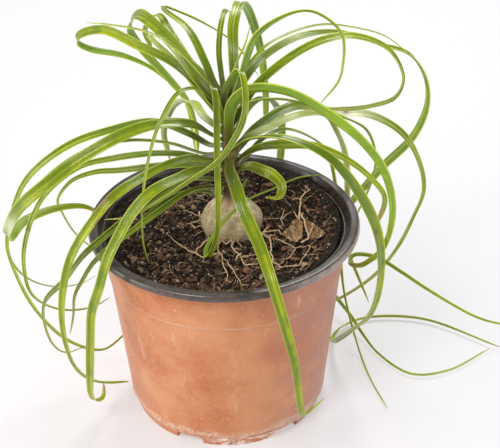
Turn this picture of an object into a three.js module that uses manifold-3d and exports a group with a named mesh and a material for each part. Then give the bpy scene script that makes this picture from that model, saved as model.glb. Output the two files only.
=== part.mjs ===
// Potted ponytail palm: a young plant with a swollen foot in a two-colour nursery pot.
// Millimetres, +Z up. The origin is the middle of the pot's underside.
import * as THREE from 'three';
import { mergeVertices } from 'three/addons/utils/BufferGeometryUtils.js';
import Module from 'manifold-3d';

const wasm = await Module();
wasm.setup();

// Driving dimensions
const POT_HEIGHT = 102;
const RIM_RADIUS = 65;
const LIP_INNER_RADIUS = 60.1;
const WALL_TOP_RADIUS = 58.6;
const FOOT_TOP_RADIUS = 49.5;
const FOOT_RADIUS = 47.4;
const FOOT_HEIGHT = 7;
const OUTER_SKIN = 0.9;
const INNER_SKIN = 0.9;
const SKIN_GAP = 0.3;
const FLOOR_THICKNESS = 3;
const FOOT_NOTCHES = 6;
const NOTCH_WIDTH = 14;
const NOTCH_HEIGHT = 4.5;
const AROUND = 40;

const SOIL_BELOW_LIP = 8;
const SOIL_TOP = POT_HEIGHT - SOIL_BELOW_LIP;
const CLEARANCE = 0.35;

const STEM_FOOT = new THREE.Vector3(4.2, 4, 108);
const STEM_TIP = new THREE.Vector3(1.8, 4, 166);
const STEM_FOOT_RADIUS = 2.6;
const STEM_TIP_RADIUS = 1.5;

const CAUDEX_RADIUS = 15;
const CAUDEX_TOP = 109.5;
const CAUDEX_BOTTOM = 86;

const BLADE_THICKNESS = 0.62;
const BLADE_CHANNEL = 0.12;

// Materials
function matte(name, color, roughness) {
  return new THREE.MeshStandardMaterial({ name, color, roughness, metalness: 0 });
}

const terracottaPlastic = matte('terracotta_plastic', 0xd0875f, 0.55);
const darkPlastic = matte('dark_plastic', 0x4a4244, 0.38);
const pottingSoil = matte('potting_soil', 0x3a2c24, 1);
const caudexBark = matte('caudex_bark', 0xb4a684, 0.85);
const stemSkin = matte('stem_skin', 0x7c5a4c, 0.7);
const rootSkin = matte('root_skin', 0xc49a66, 0.8);
const leafBlade = matte('leaf_blade', 0x7f9a2e, 0.45);

// Solids for joining and cutting
function toManifold(geometry) {
  const bare = geometry.clone();
  bare.deleteAttribute('normal');
  bare.deleteAttribute('uv');
  const merged = mergeVertices(bare, 1e-4);
  return new wasm.Manifold(new wasm.Mesh({
    numProp: 3,
    vertProperties: new Float32Array(merged.attributes.position.array),
    triVerts: new Uint32Array(merged.index.array),
  }));
}

function toGeometry(solid) {
  const mesh = solid.getMesh();
  const geometry = new THREE.BufferGeometry();
  geometry.setAttribute('position', new THREE.BufferAttribute(mesh.vertProperties, 3));
  geometry.setIndex(new THREE.BufferAttribute(mesh.triVerts, 1));
  geometry.computeVertexNormals();
  return geometry;
}

function lathe(profile, segments = AROUND) {
  const points = profile.map(([radius, height]) => new THREE.Vector2(radius, height));
  return new THREE.LatheGeometry(points, segments).rotateX(Math.PI / 2);
}

function box(size, centre, turn = 0) {
  const geometry = new THREE.BoxGeometry(...size);
  geometry.translate(...centre);
  return geometry.rotateZ(turn);
}

// Pot wall
function wallRadius(height) {
  const rise = (height - FOOT_HEIGHT) / (POT_HEIGHT - 4 - FOOT_HEIGHT);
  return THREE.MathUtils.lerp(FOOT_TOP_RADIUS, WALL_TOP_RADIUS, rise);
}

const RIM_UNDERSIDE = 98.6;
const RIM_BAND_TOP = 101.4;
const SHOULDER_HEIGHT = 86;
const SHOULDER_STEP = 0.5;
const SKIN_HEIGHTS = [12, 40, 70, SHOULDER_HEIGHT - 1.5];

function outerWallProfile() {
  const top = RIM_UNDERSIDE - SKIN_GAP;
  const outside = [
    [0, 0],
    [FOOT_RADIUS, 0],
    [FOOT_RADIUS + 1.4, FOOT_HEIGHT - 0.8],
    [FOOT_TOP_RADIUS + 0.4, FOOT_HEIGHT],
    ...SKIN_HEIGHTS.map((height) => [wallRadius(height), height]),
    [wallRadius(SHOULDER_HEIGHT) + SHOULDER_STEP, SHOULDER_HEIGHT],
    [wallRadius(top) + SHOULDER_STEP, top],
  ];
  const inside = [
    [wallRadius(top) - OUTER_SKIN, top],
    [wallRadius(SHOULDER_HEIGHT) - OUTER_SKIN, SHOULDER_HEIGHT],
    [wallRadius(FOOT_HEIGHT + 2) - OUTER_SKIN, FOOT_HEIGHT + 2],
    [FOOT_RADIUS - 3, FLOOR_THICKNESS + NOTCH_HEIGHT],
    [0, FLOOR_THICKNESS + NOTCH_HEIGHT],
  ];
  return [...outside, ...inside];
}

function outerWall() {
  let wall = toManifold(lathe(outerWallProfile()));
  for (let notch = 0; notch < FOOT_NOTCHES; notch += 1) {
    const turn = -Math.PI / 2 - 0.42 + (notch * Math.PI * 2) / FOOT_NOTCHES;
    const size = [8, NOTCH_WIDTH, NOTCH_HEIGHT * 2];
    wall = wall.subtract(toManifold(box(size, [FOOT_RADIUS, 0, 0], turn)));
  }
  return toGeometry(wall);
}

// The dark layer lines the pot and rolls over into the rim
function innerWallProfile() {
  const wallInside = (height) => wallRadius(height) - OUTER_SKIN - SKIN_GAP;
  const floor = FLOOR_THICKNESS + NOTCH_HEIGHT + SKIN_GAP;
  const neck = RIM_UNDERSIDE - SKIN_GAP;
  return [
    [0, floor],
    [FOOT_RADIUS - 3.4, floor],
    [wallInside(FOOT_HEIGHT + 2.5), FOOT_HEIGHT + 2.6],
    [wallInside(SHOULDER_HEIGHT), SHOULDER_HEIGHT],
    [wallInside(neck), neck],
    [wallInside(neck) + 0.1, RIM_UNDERSIDE],
    [RIM_RADIUS - 1.2, RIM_UNDERSIDE],
    [RIM_RADIUS, RIM_UNDERSIDE + 0.8],
    [RIM_RADIUS - 0.4, RIM_BAND_TOP - 0.5],
    [RIM_RADIUS - 1.7, POT_HEIGHT],
    [LIP_INNER_RADIUS + 0.6, POT_HEIGHT],
    [LIP_INNER_RADIUS, POT_HEIGHT - 0.6],
    [wallInside(RIM_UNDERSIDE) - INNER_SKIN, RIM_UNDERSIDE - 3],
    [wallInside(SHOULDER_HEIGHT) - INNER_SKIN, SHOULDER_HEIGHT],
    [wallInside(FOOT_HEIGHT + 4) - INNER_SKIN, FOOT_HEIGHT + 4],
    [FOOT_RADIUS - 4.6, floor + INNER_SKIN],
    [0, floor + INNER_SKIN],
  ];
}

// Soil: one body with a cloddy top, cut clear of what grows in it
const SOIL_RINGS = 18;
const SOIL_AROUND = 72;
const SOIL_BOTTOM = 13;
const SOIL_RISE_BACK = 0.03;
const SOIL_FALL_RIGHT = 0.012;
const CLOD_SIZE = 6.2;
const CLOD_HEIGHT = 2.2;
const CLOD_WANDER = 2.4;
const BANK_HEIGHT = 4.4;
const BANK_START = 40;
const BANK_END = 56;
const BANK_ANGLE = Math.PI / 4;

// The soil is banked up against the wall at the back and on the right
function soilBank(x, y) {
  const side = 0.5 + 0.5 * Math.cos(Math.atan2(y, x) - BANK_ANGLE);
  return BANK_HEIGHT * side * THREE.MathUtils.smoothstep(Math.hypot(x, y), BANK_START, BANK_END);
}

// Rounded clods with creases between them, in rows that wander
function clods(x, y) {
  const column = x + CLOD_WANDER * Math.sin(y / 4.3);
  const row = y + CLOD_WANDER * Math.sin(x / 5.1 + 1);
  const crown = Math.abs(Math.sin((Math.PI * column) / CLOD_SIZE) * Math.sin((Math.PI * row) / CLOD_SIZE));
  const share = 0.65 + 0.35 * Math.sin(x * 0.21 - y * 0.33);
  return CLOD_HEIGHT * share * Math.sqrt(crown);
}

function soilHeight(x, y) {
  return SOIL_TOP + y * SOIL_RISE_BACK - x * SOIL_FALL_RIGHT + soilBank(x, y) + clods(x, y) - CLOD_HEIGHT / 3;
}

// The highest soil about a point, so that what lies there clears every clod
const CREST_REACH = 2.6;
const CREST_POINTS = 8;

function soilCrest(x, y) {
  let crest = soilHeight(x, y);
  for (let step = 0; step < CREST_POINTS; step += 1) {
    const angle = (step / CREST_POINTS) * Math.PI * 2;
    const height = soilHeight(x + Math.cos(angle) * CREST_REACH, y + Math.sin(angle) * CREST_REACH);
    crest = Math.max(crest, height);
  }
  return crest;
}

function soilBody() {
  const edgeRadius = wallRadius(SOIL_TOP) - OUTER_SKIN - SKIN_GAP - INNER_SKIN - CLEARANCE - 0.3;
  const footRadius = wallRadius(SOIL_BOTTOM) - OUTER_SKIN - SKIN_GAP - INNER_SKIN - CLEARANCE - 0.3;
  const positions = [0, 0, soilHeight(0, 0)];
  const faces = [];
  const ringStart = (ring) => 1 + (ring - 1) * SOIL_AROUND;
  for (let ring = 1; ring <= SOIL_RINGS + 1; ring += 1) {
    for (let step = 0; step < SOIL_AROUND; step += 1) {
      const angle = (step / SOIL_AROUND) * Math.PI * 2;
      const radius = ring > SOIL_RINGS ? footRadius : (edgeRadius * ring) / SOIL_RINGS;
      const x = Math.cos(angle) * radius;
      const y = Math.sin(angle) * radius;
      positions.push(x, y, ring > SOIL_RINGS ? SOIL_BOTTOM : soilHeight(x, y));
    }
  }
  positions.push(0, 0, SOIL_BOTTOM);
  const bottom = positions.length / 3 - 1;
  for (let step = 0; step < SOIL_AROUND; step += 1) {
    const next = (step + 1) % SOIL_AROUND;
    faces.push(0, ringStart(1) + step, ringStart(1) + next);
    for (let ring = 1; ring <= SOIL_RINGS; ring += 1) {
      const a = ringStart(ring) + step;
      const b = ringStart(ring) + next;
      const c = ringStart(ring + 1) + step;
      const d = ringStart(ring + 1) + next;
      faces.push(a, c, d, a, d, b);
    }
    const last = ringStart(SOIL_RINGS + 1);
    faces.push(bottom, last + next, last + step);
  }
  const geometry = new THREE.BufferGeometry();
  geometry.setAttribute('position', new THREE.Float32BufferAttribute(positions, 3));
  geometry.setIndex(faces);
  return geometry;
}

// Caudex: a squat swollen foot, ribbed a little, with the stem standing on it
function caudexProfile(grow) {
  return [
    [0, CAUDEX_BOTTOM - grow],
    [8 + grow, CAUDEX_BOTTOM - grow],
    [13.2 + grow, 90],
    [CAUDEX_RADIUS + grow, 95.5],
    [14.4 + grow, 100],
    [12.2 + grow, 104],
    [8.6 + grow, 107.2],
    [4.4 + grow, 108.8 + grow],
    [0, CAUDEX_TOP + grow],
  ];
}

const CAUDEX_CENTRE = [3.4, 5];
const CAUDEX_AROUND = 20;

function caudexBody(grow = 0) {
  const geometry = lathe(caudexProfile(grow), CAUDEX_AROUND);
  return geometry.translate(CAUDEX_CENTRE[0], CAUDEX_CENTRE[1], 0);
}

// A round tapering limb along a route: stem, roots and sprout
function limb(route, radii, sides, steps) {
  const curve = new THREE.CatmullRomCurve3(route);
  const frames = curve.computeFrenetFrames(steps, false);
  const positions = [];
  const faces = [];
  for (let step = 0; step <= steps; step += 1) {
    const along = step / steps;
    const centre = curve.getPointAt(along);
    const radius = THREE.MathUtils.lerp(radii[0], radii[1], along);
    for (let side = 0; side < sides; side += 1) {
      const angle = (side / sides) * Math.PI * 2;
      const point = centre.clone()
        .addScaledVector(frames.normals[step], Math.cos(angle) * radius)
        .addScaledVector(frames.binormals[step], Math.sin(angle) * radius);
      positions.push(point.x, point.y, point.z);
    }
  }
  return closeTube(positions, faces, sides, steps);
}

function closeTube(positions, faces, sides, steps) {
  for (let step = 0; step < steps; step += 1) {
    for (let side = 0; side < sides; side += 1) {
      const next = (side + 1) % sides;
      const a = step * sides + side;
      const b = step * sides + next;
      const c = a + sides;
      const d = b + sides;
      faces.push(a, b, d, a, d, c);
    }
  }
  const last = steps * sides;
  for (let side = 1; side < sides - 1; side += 1) {
    faces.push(0, side + 1, side);
    faces.push(last, last + side, last + side + 1);
  }
  const geometry = new THREE.BufferGeometry();
  geometry.setAttribute('position', new THREE.Float32BufferAttribute(positions, 3));
  geometry.setIndex(faces);
  return geometry;
}

function points(list) {
  return list.map(([x, y, z]) => new THREE.Vector3(x, y, z));
}

// Leaf blade: a shallow channel swept along its route.
// The blade starts level, follows the route, and turns about it as far as its turns say.
const STEPS_PER_STATION = 2;
const BASE_WIDTH = 2.6;

// The value at a share of the length, from values spaced evenly from base to tip
function spread(values, along) {
  const place = along * (values.length - 1);
  const before = Math.min(Math.floor(place), values.length - 2);
  return THREE.MathUtils.lerp(values[before], values[before + 1], place - before);
}

function bladeWidth(widths, along) {
  const flare = THREE.MathUtils.smoothstep(along, 0, 0.16);
  const width = spread(widths, along);
  return THREE.MathUtils.lerp(Math.min(BASE_WIDTH, width), width, flare);
}

function stemPoint(height) {
  const along = (height - STEM_FOOT.z) / (STEM_TIP.z - STEM_FOOT.z);
  return STEM_FOOT.clone().lerp(STEM_TIP, along);
}

function stemRadius(height) {
  const along = (height - STEM_FOOT.z) / (STEM_TIP.z - STEM_FOOT.z);
  return THREE.MathUtils.lerp(STEM_FOOT_RADIUS, STEM_TIP_RADIUS, along);
}

function bladeStart(height, towards) {
  const axis = stemPoint(height);
  const out = new THREE.Vector3(towards.x - axis.x, towards.y - axis.y, 0).normalize();
  const reach = stemRadius(height) + CLEARANCE + BLADE_THICKNESS / 2;
  return axis.addScaledVector(out, reach);
}

function blade({ from, widths, turns, route }) {
  const stations = points(route);
  stations.unshift(bladeStart(from, stations[0]));
  const curve = new THREE.CatmullRomCurve3(stations, false, 'centripetal');
  const steps = (stations.length - 1) * STEPS_PER_STATION;
  const centres = [];
  const tangents = [];
  for (let step = 0; step <= steps; step += 1) {
    centres.push(curve.getPoint(step / steps));
    tangents.push(curve.getTangent(step / steps).normalize());
  }
  const lengths = [0];
  for (let step = 1; step <= steps; step += 1) {
    lengths.push(lengths[step - 1] + centres[step].distanceTo(centres[step - 1]));
  }
  const across = new THREE.Vector3(-tangents[0].y, tangents[0].x, 0).normalize();
  const positions = [];
  for (let step = 0; step <= steps; step += 1) {
    across.addScaledVector(tangents[step], -across.dot(tangents[step])).normalize();
    const along = lengths[step] / lengths[steps];
    const turn = THREE.MathUtils.degToRad(spread(turns, along));
    const wide = across.clone().applyAxisAngle(tangents[step], turn);
    const face = new THREE.Vector3().crossVectors(tangents[step], wide);
    const breadth = bladeWidth(widths, along);
    const half = breadth / 2;
    const raise = breadth * BLADE_CHANNEL;
    const thick = BLADE_THICKNESS / 2;
    const section = [
      [-half, raise + thick],
      [0, thick],
      [half, raise + thick],
      [half, raise - thick],
      [0, -thick],
      [-half, raise - thick],
    ];
    for (const [side, up] of section) {
      const point = centres[step].clone().addScaledVector(wide, side).addScaledVector(face, up);
      positions.push(point.x, point.y, point.z);
    }
  }
  return bladeSkin(positions, steps);
}

function bladeSkin(positions, steps) {
  const sides = 6;
  const faces = [];
  for (let step = 0; step < steps; step += 1) {
    for (let side = 0; side < sides; side += 1) {
      const next = (side + 1) % sides;
      const a = step * sides + side;
      const b = step * sides + next;
      const c = a + sides;
      const d = b + sides;
      if (side < 3) faces.push(a, d, b, a, c, d);
      else faces.push(a, c, b, b, c, d);
    }
  }
  const last = steps * sides;
  faces.push(0, 1, 4, 0, 4, 5, 1, 2, 3, 1, 3, 4);
  faces.push(last, last + 4, last + 1, last, last + 5, last + 4);
  faces.push(last + 1, last + 3, last + 2, last + 1, last + 4, last + 3);
  const geometry = new THREE.BufferGeometry();
  geometry.setAttribute('position', new THREE.Float32BufferAttribute(positions, 3));
  geometry.setIndex(faces);
  return geometry;
}

// Each leaf leaves the stem at the height "from" and runs through its route to the tip.
// Its widths, and its turns about its own length in degrees, are spaced evenly from base to tip.
const LEAVES = {
  leaf_top_left_1: {
    from: 152,
    widths: [4.8, 5, 4.8, 4.4, 3.6],
    turns: [0, -25, -72, -90, -85],
    route: [[-11, 14, 165], [-21, 26, 170], [-39, 46, 171], [-57, 64, 172], [-70, 75, 165],
      [-72, 79, 160], [-67, 84, 154], [-50, 90, 147], [-34, 94, 136], [-20, 96, 118], [-16, 97, 95],
      [-15, 97, 85]],
  },
  leaf_top_left_2: {
    from: 156,
    widths: [5, 5.8, 6.2, 5.4, 4.6],
    turns: [0, -45, -65, -70, -75],
    route: [[-9, 12, 166], [-20, 30, 176], [-31, 50, 180], [-40, 68, 178], [-45, 80, 166],
      [-40, 85, 153], [-26, 88, 133], [-17, 88, 119], [-13, 88, 97], [-14, 87, 88]],
  },
  leaf_top_left_3: {
    from: 159,
    widths: [4, 4.6, 4.2, 3.4, 2.4],
    turns: [0, 0, 0, 0, 0],
    route: [[-6, 17, 166], [-15, 32, 169], [-24, 52, 175], [-30, 69, 177], [-34, 76, 173],
      [-38, 82, 163], [-36, 84, 155], [-35, 85, 149]],
  },
  leaf_top_left_4: {
    from: 163,
    widths: [4.2, 3.8, 2.4, 1.5, 1],
    turns: [0, -10, -10, 0, 0],
    route: [[-4, 11, 168], [-7, 19, 173], [-15, 37, 183], [-25, 53, 185], [-27, 60, 184],
      [-27, 66, 183], [-24, 68, 181], [-9, 74, 171], [7, 79, 157], [20, 80, 137]],
  },
  leaf_top_left_5: {
    from: 164,
    widths: [2, 2.2, 1.8, 1.2, 0.8],
    turns: [0, -15, -20, -20, -20],
    route: [[-9, 5, 175], [-16, 9, 182], [-31, 17, 190], [-52, 29, 190], [-62, 34, 189]],
  },
  leaf_top_left_6: {
    from: 149,
    widths: [4, 4, 3.6, 3, 2],
    turns: [0, 0, 0, 0, 0],
    route: [[-11, 18, 161], [-20, 34, 166], [-33, 55, 170], [-35, 61, 170], [-35, 67, 166],
      [-32, 71, 160]],
  },
  leaf_top_middle_1: {
    from: 165,
    widths: [2.6, 2.8, 2.6, 2.4, 1.8],
    turns: [0, 0, 0, 0, 0],
    route: [[0, 9, 172], [-1, 18, 180], [0, 27, 188], [2, 38, 191], [4, 47, 188], [6, 55, 182],
      [6, 65, 160]],
  },
  leaf_top_middle_2: {
    from: 161.5,
    widths: [4.6, 5.4, 4.8, 4, 3],
    turns: [0, 35, 30, 15, 10],
    route: [[6, 8, 171], [6, 12, 182], [6, 21, 191], [8, 32, 195], [10, 42, 194], [14, 56, 183],
      [20, 70, 157], [23, 80, 127], [23, 83, 108]],
  },
  leaf_top_middle_3: {
    from: 165,
    widths: [1.6, 1.5, 1.3, 1.1, 0.8],
    turns: [0, 25, 30, 30, 30],
    route: [[6, 4, 178], [11, 10, 187], [14, 16, 195]],
  },
  leaf_top_right_1: {
    from: 159,
    widths: [4.4, 4, 2.4, 1.8, 1.2],
    turns: [0, -48, -8, 0, 0],
    route: [[9, 1, 174], [16, 9, 191], [28, 12, 199], [39, 14, 201], [48, 14, 197], [55, 13, 189],
      [55, 8, 176], [53, 4, 171], [44, -5, 164]],
  },
  leaf_top_right_2: {
    from: 157,
    widths: [1.8, 1.8, 1.6, 1.3, 0.9],
    turns: [0, 0, 0, 0, 0],
    route: [[10, 13, 171], [20, 24, 179], [33, 36, 181], [48, 47, 180], [61, 54, 176], [80, 58, 169],
      [96, 62, 155]],
  },
  leaf_top_right_3: {
    from: 153,
    widths: [5, 5, 4.6, 5, 4],
    turns: [0, 0, 0, -15, -20],
    route: [[11, 18, 166], [21, 32, 171], [38, 44, 175], [58, 55, 172], [80, 64, 161], [95, 67, 154],
      [104, 71, 139], [106, 73, 122], [100, 75, 103], [86, 77, 85], [72, 80, 64], [56, 81, 41]],
  },
  leaf_top_right_4: {
    from: 148,
    widths: [5.4, 5.4, 4.8, 2.6, 1.8],
    turns: [0, 0, 5, 0, 0],
    route: [[9, 9, 154], [16, 15, 163], [36, 26, 175], [51, 30, 180], [63, 32, 180], [79, 32, 173],
      [86, 28, 161], [82, 20, 155], [68, 8, 156], [53, -2, 160], [46, -5, 162]],
  },
  leaf_bright_arch: {
    from: 143,
    widths: [5.5, 6.8, 3, 1.9, 0.9],
    turns: [0, -10, 0, 20, 0],
    route: [[3, -5, 156], [5, -7, 166], [13, -10, 174], [29, -18, 176], [45, -25, 169], [60, -30, 158],
      [70, -31, 144], [76, -27, 121], [74, -21, 97], [67, -11, 81], [64, -4, 75], [61, 4, 71],
      [65, 15, 69], [76, 17, 66], [89, 13, 59], [102, 7, 52], [127, -5, 42], [146, -12, 41]],
  },
  leaf_front_folded: {
    from: 150,
    widths: [3.6, 3.4, 2.4, 1, 0.8],
    turns: [0, 0, 0, 0, 0],
    route: [[-2, -2, 163], [-4, -6, 174], [-3, -12, 172], [-3, -20, 145], [-3, -26, 124],
      [-4, -30, 111], [-8, -32, 101], [-9, -27, 101], [-5, -19, 105], [5, -8, 111], [12, 2, 111],
      [22, 13, 109], [38, 30, 106], [49, 34, 105]],
  },
  leaf_front_thin: {
    from: 158,
    widths: [3.4, 3.6, 3.4, 2, 0.8],
    turns: [0, 15, 15, 15, 15],
    route: [[1, 1, 167], [4, 0, 174], [8, -5, 181], [10, -15, 176], [9, -21, 166], [5, -24, 158],
      [-2, -27, 149], [-16, -32, 141], [-30, -36, 133], [-43, -38, 127], [-53, -38, 126]],
  },
  leaf_left_hanging: {
    from: 154,
    widths: [2.6, 2.4, 1.6, 1, 0.8],
    turns: [0, 0, 0, 0, 0],
    route: [[-5, 2, 160], [-11, -2, 171], [-19, -9, 173], [-27, -18, 164], [-32, -24, 152],
      [-36, -30, 133], [-37, -33, 111], [-35, -34, 99]],
  },
  leaf_back_left: {
    from: 144,
    widths: [4, 4.6, 4, 3.4, 2.6],
    turns: [0, 0, 35, 20, 10],
    route: [[-8, 12, 149], [-14, 27, 150], [-24, 46, 139], [-30, 58, 118], [-29, 64, 105], [-28, 67, 97]],
  },
  leaf_back_arch: {
    from: 139,
    widths: [4.4, 4.6, 3.2, 1.5, 0.8],
    turns: [0, 0, 0, 0, 0],
    route: [[8, 14, 143], [12, 26, 146], [21, 46, 142], [29, 64, 125], [31, 74, 104], [30, 80, 72],
      [36, 80, 43], [54, 71, 16], [63, 58, 9], [68, 48, 7], [74, 34, 3.4], [81, 19, 1.8], [96, 2, 1.8],
      [115, 4, 1.8], [141, 22, 1.8]],
  },
  leaf_back_right_1: {
    from: 131,
    widths: [5, 6.4, 4, 2.8, 2],
    turns: [0, 28, 18, 35, 60],
    route: [[8, 13, 133], [18, 28, 136], [36, 42, 139], [55, 50, 131], [74, 50, 129], [89, 45, 122],
      [97, 40, 111], [101, 36, 94], [96, 33, 79], [89, 34, 60], [79, 38, 41], [65, 48, 21], [53, 56, 8]],
  },
  leaf_back_right_2: {
    from: 134,
    widths: [5, 6.2, 5, 3.4, 1.8],
    turns: [0, 0, 0, 0, 0],
    route: [[9, 7, 139], [22, 14, 142], [36, 22, 144], [49, 30, 140], [56, 36, 127], [61, 41, 111],
      [63, 42, 86], [64, 41, 69], [65, 39, 53], [68, 37, 45], [75, 26, 31]],
  },
  leaf_back_right_3: {
    from: 151,
    widths: [1.8, 1.9, 1.6, 1.3, 0.9],
    turns: [0, -20, -20, 0, 0],
    route: [[8, 2, 160], [24, 11, 159], [44, 22, 149], [57, 27, 141], [70, 32, 131], [76, 37, 114],
      [76, 44, 96], [71, 55, 70], [68, 59, 59]],
  },
  leaf_back_right_4: {
    from: 126,
    widths: [3, 3.2, 2.4, 1.4, 0.8],
    turns: [0, 0, 0, 0, 0],
    route: [[6, 9, 125], [10, 15, 125], [19, 27, 129], [29, 37, 129], [40, 46, 122], [52, 53, 109],
      [58, 56, 87], [61, 49, 50], [63, 41, 29], [67, 33, 12], [71, 18, 2], [74, -1, 1.5], [80, -25, 1.6]],
  },
  leaf_right_wide: {
    from: 137,
    widths: [5, 6.4, 4.6, 2, 0.9],
    turns: [0, 45, 10, 0, 0],
    route: [[6, -1, 140], [12, -4, 146], [25, -10, 150], [38, -15, 148], [49, -19, 142], [61, -23, 127],
      [69, -26, 110], [72, -26, 91], [71, -24, 69], [68, -20, 56], [63, -5, 38], [58, 13, 18],
      [56, 26, 6], [57, 34, 3], [62, 43, 2.2], [76, 52, 2.2], [108, 50, 2.2], [147, 22, 2.2]],
  },
  leaf_right_short: {
    from: 129,
    widths: [4.4, 5.6, 5.2, 4.4, 2.6],
    turns: [0, 45, 35, 35, 45],
    route: [[8, 3, 132], [16, 7, 135], [31, 12, 134], [45, 14, 131], [58, 11, 126], [69, 6, 119],
      [76, 0, 111], [73, -6, 103], [70, -10, 100]],
  },
  leaf_right_curled: {
    from: 125,
    widths: [3.6, 5.2, 5.4, 4, 2.6],
    turns: [0, 60, 80, 100, 90],
    route: [[7, 1, 127], [12, 1, 129], [19, 0, 127], [23, -2, 126], [27, -4, 122], [27, -7, 119],
      [25, -10, 118], [19, -12, 120]],
  },
  leaf_front_long: {
    from: 133,
    widths: [5.9, 6, 4.8, 3.6, 2.8],
    turns: [0, 0, 0, 0, 0],
    route: [[3, -8, 132], [5, -18, 130], [7, -26, 127], [10, -38, 124], [15, -51, 118], [20, -66, 108],
      [26, -73, 87], [29, -73, 73], [31, -70, 57], [33, -66, 39], [35, -63, 32], [39, -58, 31],
      [45, -53, 33]],
  },
  leaf_left_wide: {
    from: 141,
    widths: [5, 6.2, 6, 4.4, 1.8],
    turns: [0, -30, -38, -38, -20],
    route: [[-6, 2, 146], [-14, -2, 153], [-27, -6, 156], [-42, -10, 154], [-63, -16, 145],
      [-78, -19, 135], [-93, -20, 122], [-101, -15, 106], [-101, -9, 100], [-96, 9, 98], [-83, 24, 95],
      [-71, 35, 89], [-62, 45, 77]],
  },
  leaf_left_long: {
    from: 138,
    widths: [4.6, 5, 3.6, 2.6, 1.2],
    turns: [0, -20, -30, -52, -85],
    route: [[-6, 6, 138], [-16, 10, 142], [-32, 13, 147], [-53, 15, 142], [-73, 16, 134],
      [-93, 16, 118], [-103, 18, 99], [-108, 16, 79], [-106, 13, 68], [-97, 9, 45], [-82, 6, 27],
      [-65, 10, 17], [-54, 20, 19], [-49, 28, 18]],
  },
  leaf_left_thin: {
    from: 134,
    widths: [1.8, 1.9, 1.7, 1.4, 0.8],
    turns: [0, -20, -30, -45, -60],
    route: [[-9, 11, 131], [-25, 18, 133], [-44, 22, 133], [-64, 20, 130], [-83, 14, 120],
      [-98, 7, 106], [-105, 3, 90], [-105, 2, 81], [-99, 4, 68], [-88, 11, 57], [-74, 20, 52],
      [-67, 25, 53]],
  },
  leaf_left_back_1: {
    from: 129,
    widths: [3.8, 4.2, 3, 1.8, 1.2],
    turns: [0, -20, -22, -48, -95],
    route: [[-8, 8, 129], [-20, 14, 129], [-34, 17, 128], [-51, 19, 125], [-68, 17, 122],
      [-81, 12, 115], [-89, 7, 107], [-96, 1, 91], [-98, -1, 77], [-96, 1, 59], [-85, 8, 45],
      [-70, 20, 37], [-61, 28, 37]],
  },
  leaf_left_back_2: {
    from: 124,
    widths: [4.2, 4.8, 3.2, 1.2, 0.9],
    turns: [0, -28, -32, -48, -80],
    route: [[-7, 10, 124], [-16, 16, 122], [-35, 27, 115], [-52, 35, 109], [-65, 39, 106],
      [-77, 39, 101], [-84, 36, 92], [-82, 35, 85], [-77, 38, 71], [-66, 44, 54]],
  },
  leaf_left_front_1: {
    from: 132,
    widths: [4.8, 5, 4.4, 3.3, 1.8],
    turns: [0, -20, -22, -22, -85],
    route: [[-6, -1, 134], [-14, -6, 138], [-24, -11, 138], [-34, -15, 135], [-49, -29, 132],
      [-60, -35, 121], [-69, -38, 107], [-75, -37, 85], [-77, -33, 60], [-74, -27, 35], [-66, -17, 18],
      [-51, -6, 8]],
  },
  leaf_left_front_2: {
    from: 129.5,
    widths: [4.8, 5.4, 5, 4.4, 2.4],
    turns: [0, -20, -25, -35, -35],
    route: [[-5, -6, 132], [-13, -16, 137], [-20, -24, 138], [-31, -33, 137], [-39, -38, 131],
      [-46, -44, 122], [-52, -48, 111], [-56, -49, 98], [-61, -46, 82], [-63, -44, 66], [-66, -38, 37],
      [-67, -33, 23], [-66, -28, 15], [-63, -22, 12], [-62.5, -19.5, 15], [-62.5, -19.3, 18]],
  },
  leaf_left_low_1: {
    from: 121,
    widths: [4.2, 4.8, 4, 3, 1.4],
    turns: [0, 0, 0, -15, -50],
    route: [[-6, 0, 123], [-18, -4, 125], [-32, -12, 120], [-49, -22, 112], [-57, -28, 108],
      [-64, -31, 103], [-75, -25, 85], [-87, -17, 67], [-89, -13, 50], [-86, -12, 37], [-81, -10, 31],
      [-72, -6, 31]],
  },
  leaf_left_low_2: {
    from: 118,
    widths: [3.4, 3.8, 3.2, 2.6, 1.6],
    turns: [0, 0, 0, 0, 0],
    route: [[-6, -2, 120], [-16, -9, 122], [-29, -17, 117], [-41, -25, 112], [-51, -32, 108],
      [-59, -37, 103], [-65, -36, 93], [-70, -34, 82], [-72, -32, 69], [-75, -28, 56]],
  },
  leaf_left_low_3: {
    from: 114,
    widths: [3.6, 4, 3.6, 2.8, 1.6],
    turns: [0, 0, 0, 0, 0],
    route: [[-6, 1, 115], [-13, -2, 118], [-23, -7, 118], [-34, -12, 113], [-44, -16, 106]],
  },
};

// Roots that lie bare on the soil round the caudex, one node for each side of it
const ROOT_CLEARANCE = 0.4;
const ROOT_SIDES = 5;
const ROOTS = {
  roots_left: [
    { radii: [0.9, 0.4], route: [[-7.5, -7.3], [-10, -12], [-14, -20], [-18, -17.5], [-22, -13], [-28, -5]] },
    { radii: [0.7, 0.4], route: [[-14, -20], [-11, -23], [-6, -22.5]] },
  ],
  roots_front: [
    { radii: [0.9, 0.4], route: [[-3, -10], [-3.5, -16], [-1.5, -25], [0.4, -35], [0.2, -46]] },
    { radii: [0.6, 0.4], route: [[-1.5, -25], [1.1, -28], [3.7, -35], [6.8, -46]] },
  ],
  roots_front_right: [
    { radii: [0.9, 0.4], route: [[3.4, -11], [3.6, -17], [7.3, -25], [9.2, -29.6], [15, -30.2]] },
    { radii: [0.7, 0.4], route: [[7.3, -25], [12, -22.5], [16, -21.5]] },
  ],
  roots_right: [
    { radii: [0.9, 0.4], route: [[17.5, -3.5], [19, -6.7], [26.4, -11.5], [33, -17.5], [39, -16.5]] },
    { radii: [0.9, 0.4], route: [[21, -8], [21.5, -18], [21.5, -29], [25.3, -32.7], [33.4, -33],
      [37.4, -24], [40, -17], [43.5, -14.5]] },
    { radii: [0.7, 0.4], route: [[33, -17.5], [29, -26], [24, -31]] },
  ],
};

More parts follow.
